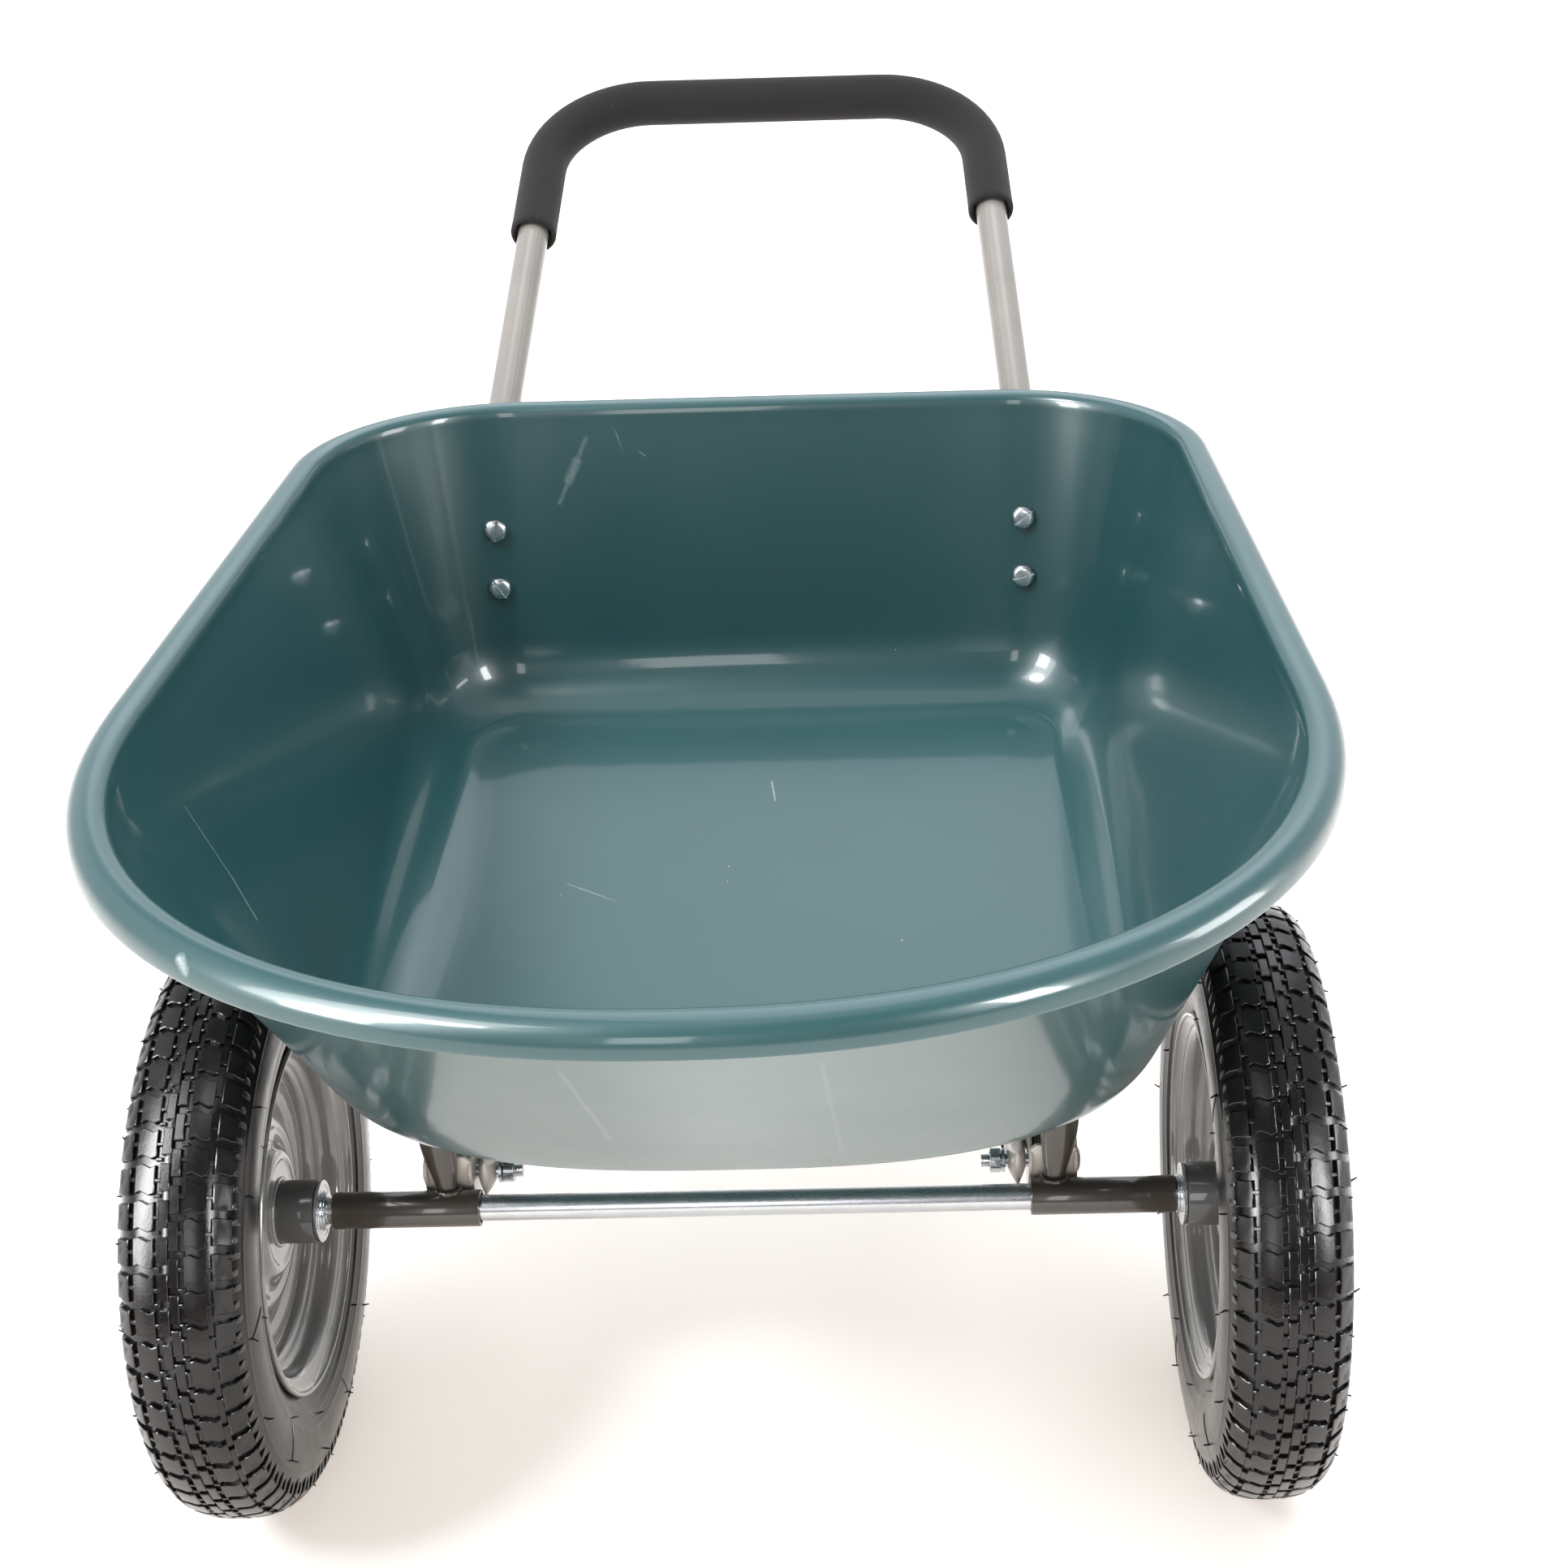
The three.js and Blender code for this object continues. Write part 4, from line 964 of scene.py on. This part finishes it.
def split_pin():
    """A split pin: two half-round legs from one eye, the legs bent apart below the rod."""
    legs = []
    for way in (-1, 1):
        eye = [Vector((0, way * 3.6 * math.sin(a), 16.2 - 3.9 * math.cos(a))) for a in angles(20)[10::-1]]
        leg = [Vector((0, way * y, z)) for y, z in ((0.9, 10.5), (0.9, -9), (1.6, -11.5), (5.5, -13.6))]
        legs.append(rope(smooth([*eye, *leg], 4), 0.9, 12))
    return merged(*legs)


CROWN_RADIUS = 165.6


class Section:
    """The tyre's outer surface as an arc measured from the crown, in millimetres."""

    def __init__(self):
        half = [(0, CROWN_RADIUS), (11, 164.9), (20, 162), (27, 155.2), (31.6, 144.5), (33.4, 131),
                (32.2, 118), (28.2, 107), (25.2, 101), (23.2, 97.6), (20.5, 96.2), (17.5, 96)]
        steps = 8
        whole = [*[(-x, r) for x, r in half[:0:-1]], *half]
        self.points = smooth([Vector(p) for p in whole], steps)
        self.arcs = [0.0]
        for a, b in zip(self.points, self.points[1:]):
            self.arcs.append(self.arcs[-1] + (b - a).length)
        crown = self.arcs[steps * (len(half) - 1)]
        self.arcs = [arc - crown for arc in self.arcs]

    def at(self, arc, lift, angle):
        """A point on the tyre, lifted along its normal, at an angle round the wheel."""
        i = 0
        while i < len(self.arcs) - 2 and self.arcs[i + 1] < arc:
            i += 1
        a, b = self.points[i], self.points[i + 1]
        along = (b - a).normalized()
        share = (arc - self.arcs[i]) / (self.arcs[i + 1] - self.arcs[i])
        return spun(*(a.lerp(b, share) + Vector((-along.y, along.x)) * lift), angle)


SECTION = Section()
PITCHES = 57
PITCH = 2 * math.pi / PITCHES
TREAD = 2.2


def block(angle, length, arc0, arc1, wave=0.0, height=TREAD, fade=1.0, dimple=False, cells=4):
    """A tread block: a raised patch with steep walls and a softened top edge. wave bends its end edges."""
    soft = min(0.45, (arc1 - arc0) / 5)
    soft_u = soft / CROWN_RADIUS
    half = length / 2
    arcs = [arc0, arc0, *[between(arc0 + soft, arc1 - soft, k / cells) for k in range(cells + 1)], arc1, arc1]
    spans = [-half, -half, *[between(-half + soft_u, half - soft_u, k / 3) for k in range(4)], half, half]
    rows = []
    for i, arc in enumerate(arcs):
        share = (arc - arc0) / (arc1 - arc0)
        bend = wave * math.sin(2 * math.pi * share) / CROWN_RADIUS
        row = []
        for j, span in enumerate(spans):
            level = min(i, j, len(arcs) - 1 - i, len(spans) - 1 - j)
            lift = (-0.5, height - 0.4, height)[min(level, 2)]
            if level:
                lift *= between(1, fade, share)
            if dimple and i == 4 and j == 3:
                lift -= 1.1
            row.append(SECTION.at(arc, lift, angle + span + bend))
        rows.append(row)
    return skin(rows, around=False)


# One side's blocks in a pitch: place and length in pitches, near and far edge from the crown, and details.
BLOCKS = ((0.2, 0.76, 0.2, 5, {}), (0.7, 0.1, 4.6, 8.2, dict(height=1.6, cells=1)),
          (0.28, 0.1, 4.6, 8.2, dict(height=1.9, cells=1)), (0.24, 0.76, 7.6, 18, dict(wave=1.2)),
          (0.22, 0.12, 17.6, 21.6, dict(height=1.7, cells=1)),
          (0.26, 0.76, 21, 31.5, dict(wave=0.5, dimple=True)),
          (0.5, 0.2, 31.2, 39.5, dict(height=2.3, fade=0.02, cells=2)),
          (-0.02, 0.2, 31.2, 37.5, dict(height=2.3, fade=0.02, cells=2)))


def tread_blocks():
    """Halves of the centre rib, wavy blocks, and shoulder blocks with tails, on both sides of the crown."""
    parts = []
    for k in range(PITCHES):
        for place, length, near, far, details in BLOCKS:
            shape = block(PITCH * (k + place), PITCH * length, near, far, **details)
            parts += [shape, moved(shape, Matrix.Diagonal((-1, -1, 1, 1)))]
    return merged(*parts)


# The mould line and the rings on the tyre's walls: distance from the crown, height and width.
RIDGES = ((0, 2.2, 0.4), (42.5, 0.25, 0.7), (66, 0.3, 1.2), (73.5, 0.5, 0.9), (76, -0.4, 0.8))


def carcass():
    """The tyre's body, with its mould line and the thin rings on its walls, and its open inside."""
    arcs = []
    arc, end = SECTION.arcs[0] + 0.2, SECTION.arcs[-1] - 0.2
    while arc < end:
        arcs.append(arc)
        arc += 0.7 if abs(arc) > 40 else 0.25 if -1.6 < arc < 1.3 else 2.0
    arcs.append(end)
    half = [(20, 100), (27, 112), (29.5, 126), (27, 143), (15, 157)]
    inside = [*half, (0, 160.5), *[(-x, r) for x, r in reversed(half)]]
    lifts = [sum(h * math.exp(-((abs(a) - c) / w) ** 2) for c, h, w in RIDGES) for a in arcs]
    rows = []
    for angle in angles(4 * PITCHES):
        outside = [SECTION.at(a, lift, angle) for a, lift in zip(arcs, lifts)]
        rows.append([*outside, *[spun(x, r, angle) for x, r in inside]])
    return skin(rows, wrap=True)


def whiskers(seed):
    """Vent spews: the short rubber hairs that a mould leaves on a new tyre, and thin lines that feed them."""
    draw = random.Random(seed)
    parts = []
    for way in (-1, 1):
        for arc, count, reach in ((30, 19, 3.6), (47, 14, 3.2), (70, 9, 2.4)):
            for k in range(count):
                angle = 2 * math.pi * (k + draw.uniform(-0.2, 0.2)) / count
                lean = draw.uniform(-0.012, 0.012)
                path = [SECTION.at(way * arc, lift, angle + lean * lift / 2)
                        for lift in (-0.5, reach / 2, reach)]
                parts.append(skin(sweep_rows(path, 0.62, 6, taper=0.4), caps=True))
                if arc == 47 and k % 2:
                    line = [SECTION.at(way * a, 0.1, angle + (a - 47) * 0.0035) for a in range(47, 68, 3)]
                    parts.append(rope(line, 0.35, 6))
    return merged(*parts)


def rim_shape():
    """The pressed rim: curled flanges, stepped bead seats, a well, and a disc with pressed rings."""
    inner = smooth_profile([(29, 103.4), (30.2, 102.6), (30, 101.2), (27.8, 100.6), (25.4, 97.6),
                            (24.2, 93.6), (20.8, 91.6), (14.4, 90.8), (12, 88.2), (10.4, 83.4),
                            (6.8, 81.6), (-1.2, 81.2)], 4)
    outer = smooth_profile([(26, 102.4), (25, 100), (24.2, 96.4), (21, 94.4), (15, 93.4), (12, 91),
                            (10, 85.8), (6, 83.9), (0, 83.6)], 4)
    barrel = turned([*inner, *[(-x, r) for x, r in reversed(inner[:-1])],
                     *[(-x, r) for x, r in outer[:-1]], *reversed(outer)], 144)
    front = smooth_profile([(12.6, 18.4), (12.6, 28), (13.6, 31), (13, 35), (8.4, 40), (7.4, 46), (8.4, 50),
                            (7.6, 55), (3.4, 60), (2.6, 66), (4.6, 72), (5.4, 77), (4.4, 80.4),
                            (3.6, 81.6)], 4)
    disc = turned([*front, *[(x - 2.2, r) for x, r in reversed(front)]], 144)
    welds = [bead([spun(x, r, a) for a in angles(count)], thick, seed) for x, r, count, thick, seed in
             ((4.2, 81, 150, 0.9, 3), (12.8, 18.9, 70, 1.25, 11), (9.8, 18.9, 70, 1.2, 12))]
    return merged(barrel, disc, *welds)


def inner_tube_shape():
    """The inner tube, with a valve stem that passes through the rim and ends in a knurled cap."""
    circle = [(25 * math.cos(a), 129 + 25 * math.sin(a)) for a in angles(24)]
    stem = turned([(0, 0.01), (0, 5.5), (3, 4.2), (24, 3.9), (25, 3.2), (31, 3.2), (31.6, 4.1), (43, 3.9),
                   (44.6, 2.6), (44.8, 0.01)], 28, closed=False)
    knurls = [rope([Vector((-9 + 4 * math.cos(a), 4 * math.sin(a), z)) for z in (74, 63.5)], 0.35, 5)
              for a in angles(16)]
    return merged(turned(circle, 72), aimed(stem, Vector((-9, 0, 106)), -Z_AXIS), *knurls)


def bearing_shape():
    """A flanged bearing seen from the cart: flange, dust shield groove and the proud inner ring."""
    return turned([(-14, BORE_RADIUS), (-14, 15.2), (-2.2, 15.2), (-2.2, 17.3), (-1.9, 17.7), (-0.3, 17.7),
                   (0, 17.4), (0, 15.4), (-0.4, 15.1), (-0.4, 13.2), (-0.1, 12.9), (-0.1, 11.4), (-0.9, 11.1),
                   (-0.9, 10.7), (1.4, 10.4), (1.6, 9.9), (1.6, 9.2), (1.1, 9), (1.9, 8.6),
                   (1.9, BORE_RADIUS)], 64)


def build_wheel(side, name):
    half_turn = Matrix.Rotation(math.pi, 4, "Z")

    def lay(label, shape, finish, node, **more):
        """Lays a part that is drawn about the axle, with +X towards the cart."""
        shape = shape if side < 0 else moved(shape, half_turn)
        piece(f"{label}_{name}", shape, finish, [f"{node}_{name}"], f"{name}_wheel",
              (side * WHEEL_X, 0, AXLE_Z), **more)

    inner, outer = WHEEL_X - HUB_INNER_X, WHEEL_X - HUB_OUTER_X
    tyre = merged(carcass(), tread_blocks(), whiskers(side + 4))
    lay("tyre_treaded", tyre, RUBBER, "tyre", tidy=False, sharp=40)
    lay("inner_tube_valved", inner_tube_shape(), TUBE_RUBBER, "inner_tube")
    lay("rim_pressed", rim_shape(), RIM, "wheel_rim", sharp=50)
    lay("hub_barrel", ring(outer, inner, 15.7, HUB_RADIUS, 64, 0.6), HUB, "wheel_hub")
    bearing = bearing_shape()
    lay("bearing_flanged_inner", shifted(bearing, inner + 2.2 + GAP), ZINC, "bearing_inner")
    lay("bearing_flanged_outer", shifted(moved(bearing, half_turn), outer - 2.2 - GAP), ZINC, "bearing_outer")


build_tub()
build_handle()
build_stand()
build_axle()
for side, name in SIDES:
    build_side(side, name)
    build_fasteners(side, name)
    build_wheel(side, name)


# ---- studio ----
def build_floor():
    reach, front = 14, -2.6
    mesh = bpy.data.meshes.new("studio_floor")
    mesh.from_pydata([(-reach, front, 0), (reach, front, 0), (reach, reach, 0), (-reach, reach, 0)], [],
                     [(0, 1, 2, 3)])
    made = Finish("studio_floor", None, Roughness=0.6, Specular_IOR_Level=0.2, Emission_Color=(1, 0.87, 0.76),
                  Emission_Strength=0.45)
    made.set(Base_Color=made.mix(made.noise(400, 2), (0.86, 0.855, 0.85), (0.88, 0.875, 0.87)))
    mesh.materials.append(made.material)
    floor = bpy.data.objects.new("studio_floor", mesh)
    bpy.context.scene.collection.objects.link(floor)


# How bright the studio's walls are, by the bearing in degrees from the wall behind the cart, and their tint.
WALLS = ((-180, 0.2), (-140, 0.22), (-115, 1.0), (-60, 1.15), (-44, 1.0), (-36, 0.45), (-24, 0.5), (-18, 2.5),
         (22, 2.5), (36, 0.75), (60, 0.8), (115, 0.7), (140, 0.22), (180, 0.2))
WALL_TINT = (0.96, 0.99, 1.05)


def build_world():
    """Walls of uneven brightness that the gloss reflects. The camera itself sees a plain white one."""
    world = bpy.data.worlds.new("studio")
    world.use_nodes = True
    made = Graph(world.node_tree)
    way = made.parts(made.node("TexCoord").outputs["Generated"])
    bearing = made.span(made.math("ARCTAN2", way["X"], way["Y"]), -math.pi, math.pi)
    walls = made.ramp(bearing, *[((degrees + 180) / 360, tuple(level * c for c in WALL_TINT))
                                 for degrees, level in WALLS])
    ceiling = made.mix(made.span(way["Z"], 0.94, 0.99), walls, (1.1, 1.1, 1.1))
    low_behind = made.math("MULTIPLY", made.span(way["Z"], 0.52, 0.36), made.span(way["Y"], -0.1, 0.4))
    skirting = made.mix(low_behind, ceiling, (0.9, 0.93, 0.95))
    seen = made.mix(made.node("LightPath").outputs["Is Camera Ray"], skirting, (1, 1, 1))
    made.feed(world.node_tree.nodes["Background"].inputs["Color"], seen)
    bpy.context.scene.world = world


def add_light(name, kind, direction, **settings):
    """A light that shines along a direction, with the settings of its kind."""
    data = bpy.data.lights.new(name, kind)
    for key, value in settings.items():
        setattr(data, key, value)
    light = bpy.data.objects.new(name, data)
    light.rotation_mode = "QUATERNION"
    light.rotation_quaternion = direction.to_track_quat("-Z", "Y")
    bpy.context.scene.collection.objects.link(light)
    return light


def build_sun(name, bearing, elevation, spread, strength):
    """A far, broad light. The bearing is measured like the walls'."""
    turn, rise = math.radians(bearing), math.radians(elevation)
    source = Vector((math.cos(rise) * math.sin(turn), math.cos(rise) * math.cos(turn), math.sin(rise)))
    add_light(name, "SUN", -source, energy=strength, angle=math.radians(spread))


def build_panel(name, place, aim, size, power, tint=(1, 1, 1)):
    """A rectangular lamp that the camera doesn't see."""
    panel = add_light(name, "AREA", Vector(aim) - Vector(place), shape="RECTANGLE", size=size[0],
                      size_y=size[1], energy=power, color=tint)
    panel.location = place
    panel.visible_camera = False
    return panel


WARM = (1, 0.94, 0.88)

# Lamps that light the cart and don't show in its gloss: name, place, aim, size, power and more.
FILLS = (("fill_front", (0, -2.4, 0.7), (0, -0.1, 0), (3.0, 0.7), 24, WARM),
         ("fill_back", (0, 2.2, 0.45), (0, -0.2, 0), (2.4, 0.5), 22, WARM),
         ("overhead", (0.1, 0.1, 2.3), (0, 0, 0.3), (2.2, 1.8), 40))

# Softboxes seen only in the gloss: name, place, size and power.
GLOSS_AIM = (0, -0.3, 0.3)
GLOSS_PANELS = (("softbox_left", (-1.42, -1.15, 1.72), (0.9, 2.2), 52),
                ("softbox_right", (2.0, -0.45, 0.85), (0.7, 0.9), 24),
                ("strip_left", (-1.55, -1.5, 1.1), (0.6, 1.3), 60),
                ("strip_right", (1.5, -1.75, 1.25), (0.4, 1.2), 44),
                ("strip_front", (-0.25, -2.3, 1.1), (0.3, 1.0), 6))


def build_studio():
    build_world()
    bpy.context.scene.view_settings.view_transform = "Standard"
    build_floor()
    build_sun("key", -128, 50, 14, 1.6)
    for fill in FILLS:
        build_panel(*fill).visible_glossy = False
    for name, place, size, power in GLOSS_PANELS:
        build_panel(name, place, GLOSS_AIM, size, power).visible_diffuse = False


def build_camera():
    """The camera stands before the nose, above the rim, and leans a little to one side."""
    place = Vector((82.73, -1046.98 + AXLE_Y, 991.64)) * MM
    yaw, pitch, roll = 0.018, 0.482, -0.032
    forward = Vector((-math.sin(yaw) * math.cos(pitch), math.cos(yaw) * math.cos(pitch), -math.sin(pitch)))
    level = Vector((math.cos(yaw), math.sin(yaw), 0))
    up = level.cross(forward)
    right = level * math.cos(roll) + up * math.sin(roll)
    up = up * math.cos(roll) - level * math.sin(roll)
    data = bpy.data.cameras.new("camera")
    data.sensor_width, data.lens, data.clip_end = 36, 52.41, 60
    data.shift_x, data.shift_y = -0.0411, -0.0063
    camera = bpy.data.objects.new("camera", data)
    turn = Matrix((right, up, -forward)).transposed().to_4x4()
    camera.matrix_world = Matrix.Translation(place) @ turn
    bpy.context.scene.collection.objects.link(camera)
    bpy.context.scene.camera = camera


build_studio()
build_camera()
